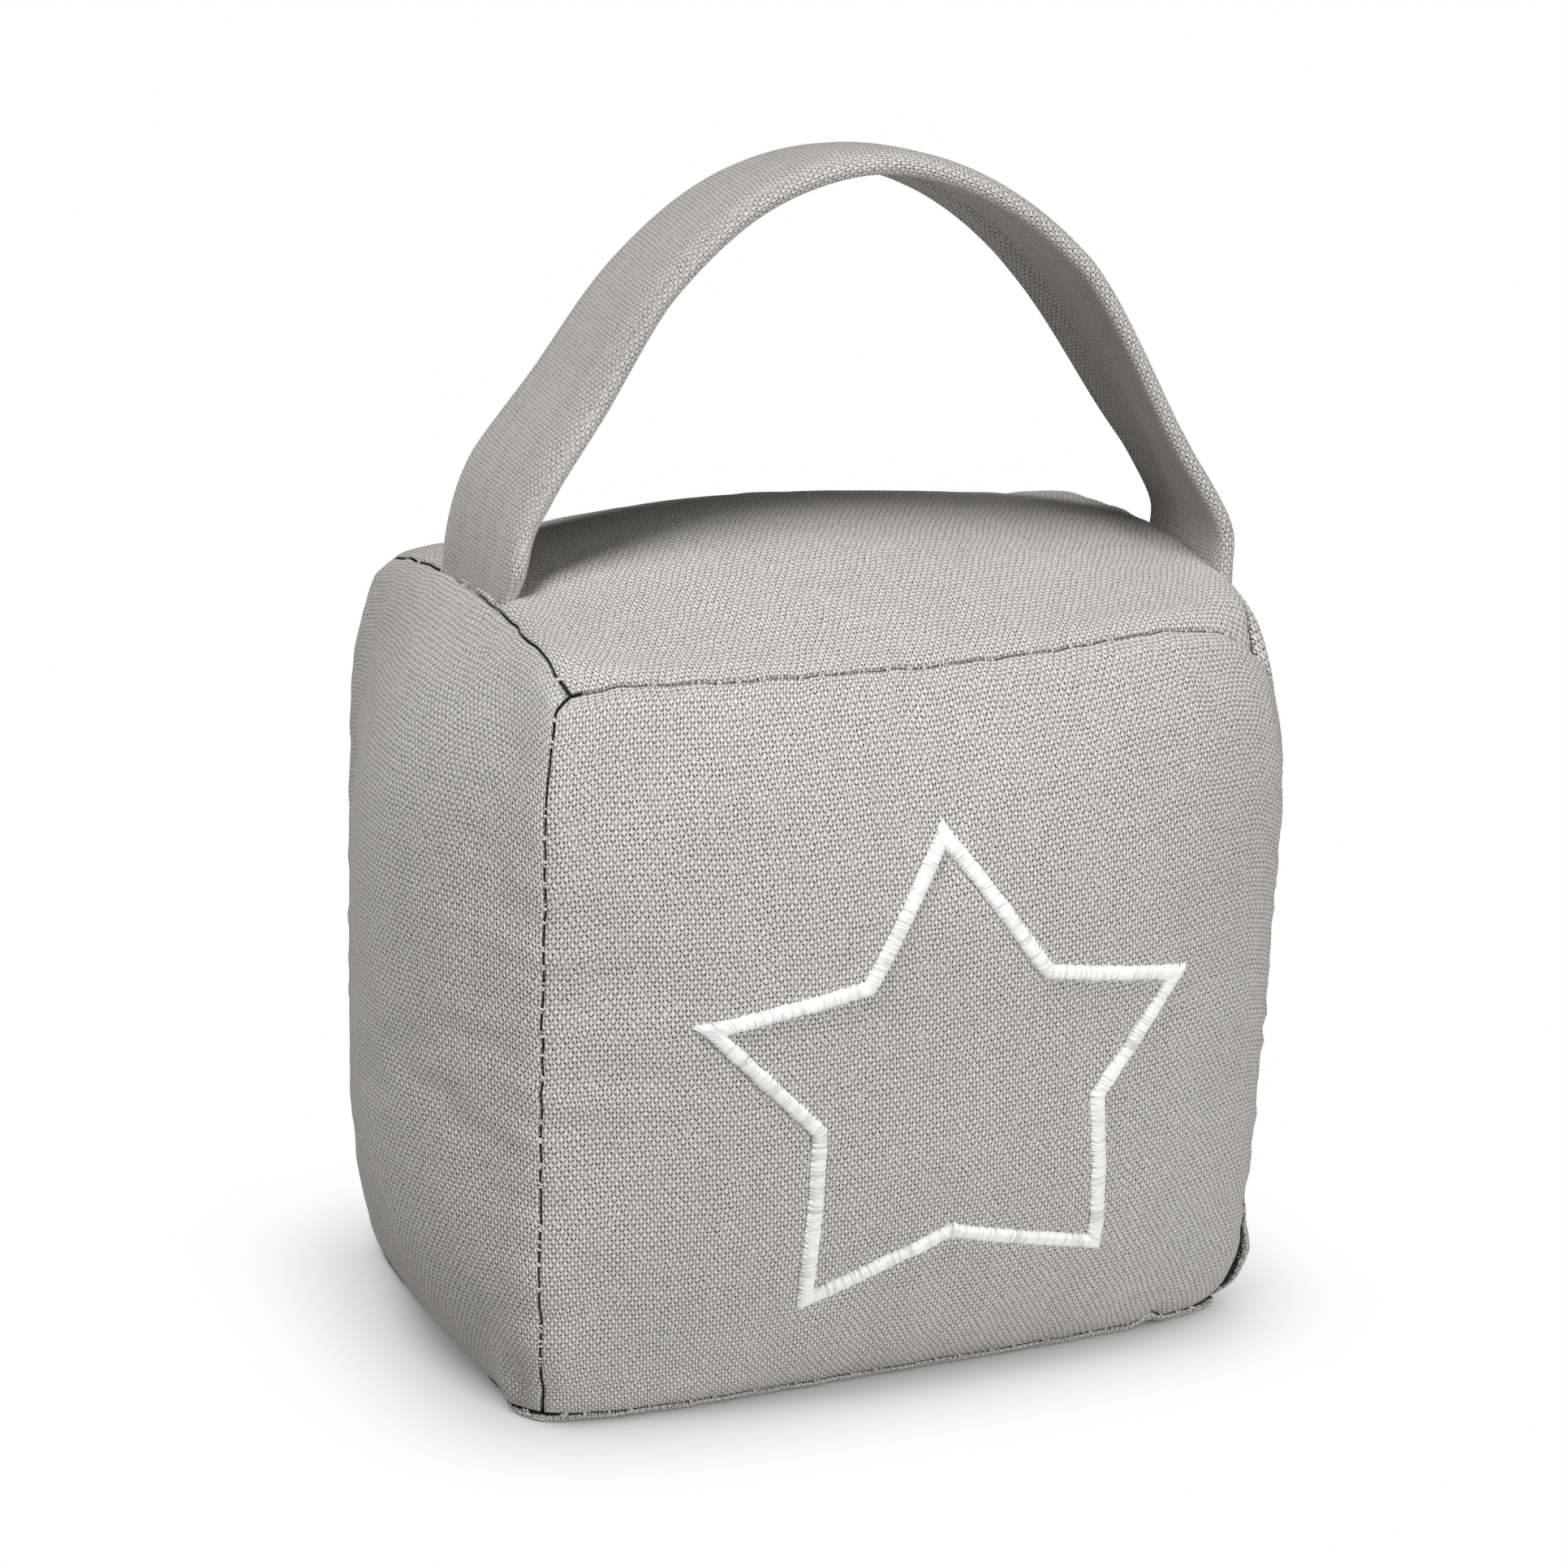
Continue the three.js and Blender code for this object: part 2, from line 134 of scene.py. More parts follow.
def cover_points(a, b, c, sewn=True):
    """Points of the cover in mm. A, b and c run from -1 to 1 across, back and up.

    Without sewn it has the panels' large shape only, as the simulation starts from.
    """
    open_a, open_b = full(a, SEAM_SHARPNESS), full(b, SEAM_SHARPNESS)
    corner_a, corner_b, corner_c = (np.abs(x) ** CORNER_SHARPNESS for x in (a, b, c))
    left, upper = a < 0, c > 0
    height = (1 + c) / 2
    from_a = (1 - np.abs(a)) * BODY_WIDTH / 2
    from_b = (1 - np.abs(b)) * BODY_DEPTH / 2
    from_c = (1 - np.abs(c)) * BODY_HEIGHT / 2
    jog_c = np.clip(1 - from_c / JOG_HEIGHT, 0, 1)
    across, back, up = a * BODY_WIDTH / 2, b * BODY_DEPTH / 2, height * BODY_HEIGHT

    bowed, side_up, face_up = (
        full(c, x) for x in (SEAM_FULLNESS, SIDE_FULLNESS_UP, FACE_FULLNESS_UP))
    out_x = np.where(left, LEFT_BULGE * (1 - LEFT_LEANS_FORWARD * b), RIGHT_BULGE)
    out_x = out_x * full(b, SIDE_FULLNESS_ACROSS) * side_up
    out_x += np.where(left, LEFT_SEAM_BOW_X, RIGHT_SEAM_BOW_X) * bowed * (1 - open_b)
    out_x += np.where(upper, -TOP_SIDE_INSET, BASE_SIDE_BOW) * open_b * (1 - side_up)
    out_x -= np.where(upper, TOP_CORNER_INSET_X, 0) * corner_b * jog_c
    out_y = FACE_BULGE * full(a, FACE_FULLNESS_ACROSS) * face_up
    out_y += np.where(left, LEFT_SEAM_BOW_Y, RIGHT_SEAM_BOW_Y) * bowed * (1 - open_a)
    out_y += np.where(upper, TOP_FACE_BOW, BASE_FACE_BOW) * open_a * (1 - face_up)
    out_y -= np.where(upper, 0, BASE_CORNER_INSET_Y) * corner_a * corner_c

    crown_a, crown_b = full(a, CROWN_FULLNESS), full(b, CROWN_FULLNESS)
    corner_drop = LEFT_CORNER_DROP + (RIGHT_CORNER_DROP - LEFT_CORNER_DROP) * (1 + a) / 2
    rise = TOP_CROWN * crown_a * crown_b * (1 - CROWN_LEANS_LEFT * a) * (1 + CROWN_LEANS_BACK * b)
    rise += TOP_SIDE_RISE * crown_b * (1 - crown_a) - TOP_FACE_SAG * crown_a * (1 - crown_b)
    rise -= corner_drop * corner_a * corner_b

    groove_a, groove_b, groove_c = (GROOVE_DEPTH * fade(x, GROOVE_REACH)
                                    for x in (from_a, from_b, from_c))
    pull_x = fade(from_a, GROOVE_DRAW) * np.maximum(groove_b, groove_c)
    pull_y = fade(from_b, GROOVE_DRAW) * np.maximum(groove_a, groove_c)
    pull_z = fade(from_c, GROOVE_DRAW) * np.maximum(groove_a, groove_b) * height
    roll_a, roll_b = (np.minimum(x / RIM_HEIGHT, np.pi / 2) for x in (from_a, from_b))
    rim = 1 - np.sin(roll_a) * np.sin(roll_b)
    under = c < -1 + 1e-9
    lift = RIM_HEIGHT * np.where(under, rim, 1)
    if sewn:
        slit_ab, slit_bc, slit_ac = (SLIT_DEPTH * np.exp(-x / SLIT_WIDTH) for x in (
            from_a + from_b, from_b + from_c, from_a + from_c))
        pull_x += np.maximum(slit_ab, slit_ac)
        pull_y += np.maximum(slit_ab, slit_bc)
        pull_z += np.maximum(slit_ac, slit_bc) * height
        out_x += puckers(up, from_b, back, from_c, a > 0, seed=11)
        out_y += puckers(up, from_a, across, from_c, b > 0, seed=21)
        rise += puckers(back, from_a, across, from_b, a > 0, seed=31) * height

        ear = 1 - EAR_LIP_PULL * np.exp(-from_b / EAR_LIP)
        ear *= fade(np.maximum(0, up - EAR_TOP / 2), EAR_TOP) * fade(from_b, EAR_LENGTH)
        ear *= 1 - EAR_FOOT_PULL * np.exp(-up / EAR_FOOT)
        out_x += np.where(left, 0, EAR_SIZE) * ear * fade(from_a, EAR_LENGTH)

        front = b < 0
        low = np.exp(-up / LOW_REACH)
        rounded = fade(from_b, CORNER_ROUND_BACK) * fade(from_a, CORNER_ROUND_ACROSS) * low
        out_x -= np.where(~left & front, CORNER_ROUND, 0) * rounded
        toe = low * np.exp(-((from_b - TOE_PLACE) / TOE_WIDTH) ** 2)
        out_x += np.where(left & front, TOE, 0) * toe
        off_dent = from_b - DENT_PLACE
        dent = np.exp(-((up - DENT_HEIGHT) / DENT_TALL) ** 2) * fade(from_a, DENT_REACH)
        beside = np.exp(-(off_dent / DENT_WIDTH) ** 2)
        beside -= DENT_RIDGE * np.exp(-((off_dent - DENT_RIDGE_OFF) / DENT_RIDGE_WIDTH) ** 2)
        out_x -= np.where(left & front, DENT, 0) * dent * beside
        notch = np.exp(-((across - NOTCH_PLACE) / NOTCH_WIDTH) ** 2 - up / NOTCH_HEIGHT)
        lift = lift + np.where(front, NOTCH_RISE, 0) * notch * fade(from_b, NOTCH_BACK)

        # The base panel's cloth that the rim's bend takes up is given back towards its middle
        for x, rolled, out in ((from_a, roll_a, out_x), (from_b, roll_b, out_y)):
            spare = np.minimum(x, RIM_HEIGHT * np.pi / 2) - RIM_HEIGHT * (1 - np.cos(rolled))
            spare *= fade(np.maximum(0, x - RIM_SPARE_FROM), RIM_SPARE_REACH)
            out += np.where(under, spare, 0)

    half_width = BODY_WIDTH / 2 + out_x - pull_x + TAPER * (height - 0.5)
    half_depth = BODY_DEPTH / 2 + out_y - pull_y
    placed = np.stack([
        a * half_width + LEAN * (height - 0.5),
        b * half_depth,
        height * (BODY_HEIGHT + rise) - pull_z + lift,
    ], -1)
    places = (a, b, c)
    for (axis, side), grid in (folds.items() if sewn else ()):
        first, second = (places[x] for x in range(3) if x != axis)
        placed += between(grid, first, second) * (places[axis] == side)[..., None]
    return placed


# Painted shade of a groove: how far it reaches, how much wider it is at a corner and beside
# the lump in the right panel, and what is left of it along the front's top seam, which is open
GROOVE_SHADE, OPEN_SHADE, CLEAR_OF_CORNER = 0.12, 0.45, 3
CORNER_REACH, CORNER_GAP, EAR_GAP = 8, 1.5, 3.2


def groove_shade(a, b, c):
    """How much painted shade the groove gets, 1 at a seam and 0 beside it."""
    from_seams = [(1 - np.abs(x)) * size / 2 for x, size in (
        (a, BODY_WIDTH), (b, BODY_DEPTH), (c, BODY_HEIGHT))]
    off = np.sort(from_seams, axis=0)[1]
    open_top = (c > 0.9) & (b < -0.9) & (from_seams[0] > CLEAR_OF_CORNER)
    ear = (a > 0) & (b < 0) & (c < 0) & (from_seams[2] > CLEAR_OF_CORNER)
    corner = np.exp(-np.max(from_seams, axis=0) / np.where(ear, EAR_LENGTH, CORNER_REACH))
    wider = 1 + np.where(ear, EAR_GAP, CORNER_GAP) * corner
    return np.exp(-off / GROOVE_SHADE / wider) * np.where(open_top, OPEN_SHADE, 1)


# The six panels: which way each runs, as (u, v) to (a, b, c), with u and v turned so that
# the panel faces out, and the sizes of the cut that u and v measure
PANELS = {
    "front": (lambda u, v: (u, -1 + 0 * u, v), BODY_WIDTH, BODY_HEIGHT),
    "back": (lambda u, v: (-u, 1 + 0 * u, v), BODY_WIDTH, BODY_HEIGHT),
    "left": (lambda u, v: (-1 + 0 * u, -u, v), BODY_DEPTH, BODY_HEIGHT),
    "right": (lambda u, v: (1 + 0 * u, u, v), BODY_DEPTH, BODY_HEIGHT),
    "top": (lambda u, v: (u, v, 1 + 0 * u), BODY_WIDTH, BODY_DEPTH),
    "base": (lambda u, v: (-u, v, -1 + 0 * u), BODY_WIDTH, BODY_DEPTH),
}
SEAM_ROWS = (0, 0.06, 0.15, 0.28, 0.5, 0.8, 1.2, 1.7, 2.3, 3.1, 4.2, 5.6)
CLOTH_STEP = 1.5
CLOTH_ASKEW, PANEL_APART = math.radians(2.8), 250
CLOTH_SIN, CLOTH_COS = math.sin(CLOTH_ASKEW), math.cos(CLOTH_ASKEW)
CLOTH_TURN = np.array([[CLOTH_COS, -CLOTH_SIN], [CLOTH_SIN, CLOTH_COS]])


def stations(length, rows, step):
    """Grid lines of a panel from -1 to 1, close together beside its seams."""
    half = length / 2
    near = [1 - row / half for row in rows]
    inner = np.linspace(-near[-1], near[-1], round(2 * near[-1] * half / step) + 1)
    return np.array([-x for x in near] + list(inner[1:-1]) + near[::-1])


def lengths(grid, way):
    """Length over the cloth from the middle of a panel, along its rows or its columns."""
    steps = np.linalg.norm(np.diff(grid, axis=way), axis=-1).mean(1 - way)
    at = np.concatenate([[0], np.cumsum(steps)])
    at -= at[-1] / 2
    return np.broadcast_to(at[:, None] if way == 0 else at, grid.shape[:2])


def sew(rows, step, **shape):
    """One closed mesh of the panels: points, faces, flat cloth places, and panel places."""
    known, points, faces, places = {}, [], [], []
    for number, (place, wide, tall) in enumerate(PANELS.values()):
        us, vs = stations(wide, rows, step), stations(tall, rows, step)
        u, v = np.meshgrid(us, vs, indexing="ij")
        a, b, c = place(u, v)
        grid = cover_points(a, b, c, **shape)
        index = np.empty(u.shape, int)
        keys = np.round(np.stack([a, b, c], -1), 5) + 0.0
        for i, j in np.ndindex(u.shape):
            key = tuple(keys[i, j])
            if key not in known:
                known[key] = len(points)
                points.append(grid[i, j])
            index[i, j] = known[key]
        quads = np.stack([index[:-1, :-1], index[1:, :-1], index[1:, 1:], index[:-1, 1:]], -1)
        faces.append(quads.reshape(-1, 4))
        flat = np.stack([lengths(grid, 0), lengths(grid, 1)], -1)
        flat = flat @ CLOTH_TURN + [0, PANEL_APART * number]
        corners = np.stack([flat[:-1, :-1], flat[1:, :-1], flat[1:, 1:], flat[:-1, 1:]], 2)
        places.append(corners.reshape(-1, 2))
    return np.array(points), np.concatenate(faces), np.concatenate(places), np.array(list(known))


def mesh_object(name, points, faces, places=None):
    """Object from points in metres, quads or triangles, and one cloth place per corner."""
    mesh = bpy.data.meshes.new(name)
    mesh.from_pydata(np.asarray(points).tolist(), [], np.asarray(faces).tolist())
    if places is not None:
        mesh.uv_layers.new(name="cloth").uv.foreach_set("vector", np.ravel(places))
    mesh.polygons.foreach_set("use_smooth", [True] * len(mesh.polygons))
    mesh.update()
    piece = bpy.data.objects.new(name, mesh)
    bpy.context.scene.collection.objects.link(piece)
    return piece


# The solids stand in the frame with the whole object's middle over the origin, so the
# cover is moved to where the block of the frame is. A coarse cover is enough to tell.
COARSE_ROWS, COARSE_STEP = (0, 0.6, 1.6, 4, 9), 10
block_low = np.array(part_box("body")[0]) / MM
SHIFT = block_low - sew(COARSE_ROWS, COARSE_STEP, sewn=False)[0].min(0)
SHIFT[2] = 0

# The filling presses the cloth out while the thread holds every seam shorter than the
# cloth beside it, so short soft folds run in from the seams. They come from a simulation
# of the whole cover, held along its seams, and of its result the part is kept that is
# finer than a whole panel, because the panels have their measured shape already.
FOLD_STEP, FOLD_GROWTH, FOLD_PRESSURE, FOLD_FRAMES = 4, 0.03, 4, 20
FOLD_REACH, FOLD_EDGE, FOLD_SHARE, FOLD_CAP = 9, 3, 0.25, 0.4
coarse, quads, _, coarse_spots = sew((0,), FOLD_STEP, sewn=False)
cloth = mesh_object("folding_cloth", coarse * MM, quads)
held = np.flatnonzero((np.abs(coarse_spots) > 1 - 1e-6).sum(1) > 1)
cloth.vertex_groups.new(name="seams").add(held.tolist(), 1.0, "REPLACE")
filling = cloth.modifiers.new("filling", "CLOTH")
filling.point_cache.frame_start, filling.point_cache.frame_end = 1, FOLD_FRAMES
filling.settings.vertex_group_mass = "seams"
filling.settings.effector_weights.gravity = 0
filling.settings.use_pressure = True
filling.settings.uniform_pressure_force = FOLD_PRESSURE
filling.settings.shrink_min = -FOLD_GROWTH
for frame_number in range(1, FOLD_FRAMES + 1):
    bpy.context.scene.frame_set(frame_number)
shown = cloth.evaluated_get(bpy.context.evaluated_depsgraph_get())
pushed = np.empty(coarse.size)
shown.data.vertices.foreach_get("co", pushed)
pushed = pushed.reshape(-1, 3) / MM - coarse
bpy.context.scene.frame_set(1)
bpy.data.objects.remove(cloth)
number_of = {tuple(spot): number for number, spot in enumerate(coarse_spots.tolist())}
for axis in range(3):
    first, second = (x for x in range(3) if x != axis)
    for side in (-1.0, 1.0):
        panel = coarse_spots[coarse_spots[:, axis] == side]
        lines = [np.unique(panel[:, x]) for x in (first, second)]
        grid = np.empty((len(lines[0]), len(lines[1]), 3))
        for i, j in np.ndindex(grid.shape[:2]):
            spot = [0.0] * 3
            spot[axis], spot[first], spot[second] = side, lines[0][i], lines[1][j]
            grid[i, j] = pushed[number_of[tuple(spot)]]
        smooth = grid
        inward = []  # per way, none at the two seams and 1 away from them
        for way, line in enumerate(lines):
            line = line * (BODY_WIDTH, BODY_DEPTH, BODY_HEIGHT)[(first, second)[way]] / 2
            near = np.exp(-((line[:, None] - line) / FOLD_REACH) ** 2 / 2)
            near /= near.sum(1, keepdims=True)
            smooth = np.moveaxis(np.tensordot(near, smooth, (1, way)), 0, way)
            inward.append(1 - np.exp(-(line[-1] - np.abs(line)) / FOLD_EDGE))
        fine = FOLD_SHARE * (grid - smooth) * (inward[0][:, None] * inward[1])[..., None]
        size = np.linalg.norm(fine, axis=-1, keepdims=True) + 1e-9
        folds[axis, side] = fine * np.minimum(1, FOLD_CAP / size)

points, faces, places, spots = sew(SEAM_ROWS, CLOTH_STEP)
cover = mesh_object("canvas_cover", (points + SHIFT) * MM, faces, places)
# Painted shade of the seam grooves, kept per point for the canvas colour
grooves = cover.data.attributes.new("seam", "FLOAT", "POINT")
grooves.data.foreach_set("value", groove_shade(*spots.T))


def linear(code):
    """Linear colour of an sRGB hex value."""
    shares = (int(code[i:i + 2], 16) / 255 for i in (1, 3, 5))
    return [s / 12.92 if s <= 0.04045 else ((s + 0.055) / 1.055) ** 2.4 for s in shares] + [1]


def node(tree, kind, feeds=None, **settings):
    """Adds a node with its settings, and feeds its inputs in order, or by name or number."""
    made = tree.nodes.new(kind)
    for name, value in settings.items():
        setattr(made, name, value)
    if isinstance(feeds, tuple):
        feeds = dict(enumerate(feeds))
    for key, feed in (feeds or {}).items():
        if isinstance(feed, bpy.types.Node):
            feed = feed.outputs[0]
        if isinstance(feed, bpy.types.NodeSocket):
            tree.links.new(feed, made.inputs[key])
        else:
            made.inputs[key].default_value = feed
    return made


# Plain-woven cotton canvas, matt and slightly hairy, of 15 upright yarns to the centimetre
# and 11 level ones. Every second crossing shows the upright yarn as a grain, in a
# checkerboard, painted lighter than the level yarns as a highlight on the raised yarn.
# Where the grain dips under the level yarns, painted shade makes a small dark pit at each
# of its lower corners, joined by a curved painted shadow below the grain, as light falls
# from above, and no two are quite the same.
# The distances from yarn to yarn, the sway and the relief are in millimetres, and the
# sizes of the grain, the pits and the shadow are in yarns.
UPRIGHT_YARNS, LEVEL_YARNS, WEAVE_RELIEF = 0.658, 0.926, 0.07
YARN_SWAY, SWAYS_PER_MM = 0.35, 0.11
YARN_WANDER, WANDERS_PER_MM, YARN_APART = 0.06, 2.6, (31, 57)
GRAIN_WIDTH, GRAIN_HEIGHT, GRAIN_LEAN = 0.47, 0.7, 0.15
GRAIN_EDGE, GRAIN_END, GRAINS_VARY = 2.2, 1.15, 0.4
# Pits and curved shadow, painted shade: their places and sizes in yarns, then how dark
PIT_OFF, PIT_DOWN, PIT_WIDTH, PIT_HEIGHT = 0.49, 0.38, 0.24, 0.34
SHADOW_RADIUS, SHADOW_WIDTH, SHADOW_FALL = 0.62, 0.15, 2.2
PIT_SHADE_DARKNESS, SHADOW_DARKNESS, DARKEST = 1.6, 0.62, 0.96
UNEVEN_PER_MM, UNEVEN_FROM, UNEVEN_TO, UNEVEN_MOST = 2.4, 0.32, 0.72, 1.6
BAND_ACROSS_PER_MM, BAND_ALONG_PER_MM, BAND_FROM, BAND_TO = 0.26, 0.012, 0.4, 0.6
THICK_YARNS, SOFT_PATCHES, FIBRES = 0.12, 0.1, 0.5
THICK_PER_MM, PATCHES_PER_MM, FIBRES_PER_MM = 0.9, 0.03, 3.5
# Painted shade in a seam's groove: how ragged its edge is and how dark it gets
RAGGED, RAGGED_OFF, RAGGED_EDGE, GROOVE_DARKEST = 1.3, 0.9, 5.0, 0.97
# The grain is lighter than the level yarns by a painted highlight on the raised yarn
GRAIN_HIGHLIGHT, LEVEL_YARN = "#e6e4e0", "#cccac6"


def canvas(name, shade=1.0, bands=0.0):
    """The canvas, darker by its shade, with less painted pit shade in bands where creased flat."""
    made = bpy.data.materials.new(name)
    made.use_nodes = True
    tree = made.node_tree
    tree.nodes.clear()

    # Place on the cloth, counted in yarns, which sway and wander a little
    place = node(tree, "ShaderNodeUVMap", uv_map="cloth")
    flat = node(tree, "ShaderNodeSeparateXYZ", (place,))
    yarns = []
    for axis, pitch in enumerate((UPRIGHT_YARNS, LEVEL_YARNS)):
        line = flat.outputs[axis]
        apart = (YARN_APART[0] * axis, YARN_APART[1] * axis, 0)
        apart = node(tree, "ShaderNodeMapping", {"Vector": place, "Location": apart})
        for scale, size in ((SWAYS_PER_MM, YARN_SWAY), (WANDERS_PER_MM, YARN_WANDER)):
            sway = node(tree, "ShaderNodeTexNoise", {
                "Vector": apart, "Scale": scale, "Detail": 2.0,
            })
            sway = node(tree, "ShaderNodeMath", (sway, 4 * size, -2 * size),
                        operation="MULTIPLY_ADD")
            line = node(tree, "ShaderNodeMath", (line, sway), operation="ADD")
        yarns.append(node(tree, "ShaderNodeMath", (line, pitch), operation="DIVIDE"))

    # The diamond that each grain lies in, and the place from the grain's middle
    offs, cells = [], []
    for operation in ("ADD", "SUBTRACT"):
        line = node(tree, "ShaderNodeMath", tuple(yarns), operation=operation)
        line = node(tree, "ShaderNodeMath", (line, 0.5), operation="MULTIPLY")
        cells.append(node(tree, "ShaderNodeMath", (line,), operation="ROUND"))
        offs.append(node(tree, "ShaderNodeMath", (line, cells[-1]), operation="SUBTRACT"))
    across = node(tree, "ShaderNodeMath", tuple(offs), operation="ADD")
    up = node(tree, "ShaderNodeMath", tuple(offs), operation="SUBTRACT")
    cell = node(tree, "ShaderNodeCombineXYZ", tuple(cells))
    own = node(tree, "ShaderNodeTexWhiteNoise", {"Vector": cell})

    # The grain itself, 1 in its middle
    leaning = node(tree, "ShaderNodeMath", (up, GRAIN_LEAN, across), operation="MULTIPLY_ADD")
    off = node(tree, "ShaderNodeCombineXYZ", (leaning, up))
    grain_size = (GRAIN_WIDTH, GRAIN_HEIGHT, 1)
    off = node(tree, "ShaderNodeVectorMath", (off, grain_size), operation="DIVIDE")
    off = node(tree, "ShaderNodeVectorMath", (off,), operation="LENGTH").outputs["Value"]
    grain = node(tree, "ShaderNodeMath", (off, -GRAIN_EDGE, GRAIN_END * GRAIN_EDGE),
                 operation="MULTIPLY_ADD", use_clamp=True)
    square = node(tree, "ShaderNodeMath", (off, off), operation="MULTIPLY")
    rounded = node(tree, "ShaderNodeMath", (1.0, square), operation="SUBTRACT", use_clamp=True)

    # Painted shade of the pits at its lower corners, and the curved painted shadow between them
    beside = node(tree, "ShaderNodeMath", (across,), operation="ABSOLUTE")
    pit_shade = node(tree, "ShaderNodeCombineXYZ", (beside, up))
    pit_shade = node(tree, "ShaderNodeVectorMath", (pit_shade, (-PIT_OFF, PIT_DOWN, 0)), operation="ADD")
    pit_shade = node(tree, "ShaderNodeVectorMath", (pit_shade, (PIT_WIDTH, PIT_HEIGHT, 1)), operation="DIVIDE")
    pit_shade = node(tree, "ShaderNodeVectorMath", (pit_shade, pit_shade), operation="DOT_PRODUCT").outputs["Value"]
    pit_shade = node(tree, "ShaderNodeMath", (pit_shade, -1.0), operation="MULTIPLY")
    pit_shade = node(tree, "ShaderNodeMath", (pit_shade,), operation="EXPONENT")
    ring = node(tree, "ShaderNodeCombineXYZ", (across, up))
    ring = node(tree, "ShaderNodeVectorMath", (ring,), operation="LENGTH").outputs["Value"]
    ring = node(tree, "ShaderNodeMath", (ring, SHADOW_RADIUS), operation="SUBTRACT")
    ring = node(tree, "ShaderNodeMath", (ring, SHADOW_WIDTH), operation="DIVIDE")
    ring = node(tree, "ShaderNodeMath", (ring, ring), operation="MULTIPLY")
    ring = node(tree, "ShaderNodeMath", (ring, -1.0), operation="MULTIPLY")
    ring = node(tree, "ShaderNodeMath", (ring,), operation="EXPONENT")
    below = node(tree, "ShaderNodeMath", (up, -SHADOW_FALL), operation="MULTIPLY", use_clamp=True)
    ring = node(tree, "ShaderNodeMath", (ring, below), operation="MULTIPLY")
    ring = node(tree, "ShaderNodeMath", (ring, SHADOW_DARKNESS), operation="MULTIPLY")
    shadow = node(tree, "ShaderNodeMath", (pit_shade, PIT_SHADE_DARKNESS, ring), operation="MULTIPLY_ADD")
    uneven = node(tree, "ShaderNodeTexNoise", {
        "Vector": place, "Scale": UNEVEN_PER_MM, "Detail": 2.0,
    })
    uneven = node(tree, "ShaderNodeMapRange", (uneven, UNEVEN_FROM, UNEVEN_TO, 0.0, UNEVEN_MOST))
    shadow = node(tree, "ShaderNodeMath", (shadow, uneven), operation="MULTIPLY")
    lengthwise = node(tree, "ShaderNodeMapping", {
        "Vector": place, "Scale": (BAND_ACROSS_PER_MM, BAND_ALONG_PER_MM, 1),
    })
    shade_in_bands = node(tree, "ShaderNodeTexNoise", {"Vector": lengthwise, "Scale": 1.0, "Detail": 1.0})
    shade_in_bands = node(tree, "ShaderNodeMapRange", (shade_in_bands, BAND_FROM, BAND_TO, 1.0, 1.0 - bands))
    shadow = node(tree, "ShaderNodeMath", (shadow, shade_in_bands), operation="MULTIPLY")
    shadow = node(tree, "ShaderNodeMath", (shadow, 1.0), operation="MINIMUM")

    # Thicker and thinner yarns both ways, then soft patches, then single fibres
    tone = shade
    for across_per_mm, up_per_mm, share in (
        (THICK_PER_MM, PATCHES_PER_MM, THICK_YARNS), (PATCHES_PER_MM, THICK_PER_MM, THICK_YARNS),
        (PATCHES_PER_MM, PATCHES_PER_MM, SOFT_PATCHES), (FIBRES_PER_MM, FIBRES_PER_MM, FIBRES),
    ):
        along = node(tree, "ShaderNodeMapping", {
            "Vector": place, "Scale": (across_per_mm, up_per_mm, 1),
        })
        fibres = node(tree, "ShaderNodeTexNoise", {"Vector": along, "Scale": 1.0, "Detail": 3.0})
        amount = node(tree, "ShaderNodeMath", (fibres, share, -share / 2),
                      operation="MULTIPLY_ADD")
        tone = node(tree, "ShaderNodeMath", (tone, amount), operation="ADD")

    # Painted shade in the groove of a seam, ragged and nearly black
    seam = node(tree, "ShaderNodeAttribute", attribute_name="seam").outputs["Fac"]
    ragged = node(tree, "ShaderNodeMath", (fibres, RAGGED, -RAGGED_OFF), operation="MULTIPLY_ADD")
    ragged = node(tree, "ShaderNodeMath", (ragged, seam), operation="ADD")
    ragged = node(tree, "ShaderNodeMath", (ragged, RAGGED_EDGE), operation="MULTIPLY",
                  use_clamp=True)

    share = node(tree, "ShaderNodeMath", (own, GRAINS_VARY, 1 - GRAINS_VARY),
                 operation="MULTIPLY_ADD")
    share = node(tree, "ShaderNodeMath", (share, grain), operation="MULTIPLY")
    yarn = node(tree, "ShaderNodeMix", {
        "Factor": share, 6: linear(LEVEL_YARN), 7: linear(GRAIN_HIGHLIGHT),
    }, data_type="RGBA")
    light = node(tree, "ShaderNodeMath", (shadow, -DARKEST, 1.0), operation="MULTIPLY_ADD")
    open_cloth = node(tree, "ShaderNodeMath", (ragged, -GROOVE_DARKEST, 1.0),
                      operation="MULTIPLY_ADD")
    light = node(tree, "ShaderNodeMath", (light, open_cloth), operation="MULTIPLY")
    light = node(tree, "ShaderNodeMath", (light, tone), operation="MULTIPLY")
    colour = node(tree, "ShaderNodeMix", {
        "Factor": 1.0, 6: yarn.outputs[2], 7: light,
    }, data_type="RGBA", blend_type="MULTIPLY")
    height = node(tree, "ShaderNodeMath", (rounded, shadow), operation="SUBTRACT")
    relief = node(tree, "ShaderNodeBump", {
        "Height": height, "Distance": WEAVE_RELIEF * MM, "Strength": 1.0,
    })
    surface = node(tree, "ShaderNodeBsdfPrincipled", {
        "Base Color": colour.outputs[2], "Roughness": 0.95, "Specular IOR Level": 0.2,
        "Sheen Weight": 0.1, "Sheen Roughness": 0.5, "Normal": relief,
    })
    node(tree, "ShaderNodeOutputMaterial", {"Surface": surface})
    return made


cover.data.materials.append(canvas("grey_cotton_canvas", shade=0.87))
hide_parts("body")
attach(cover, "root")

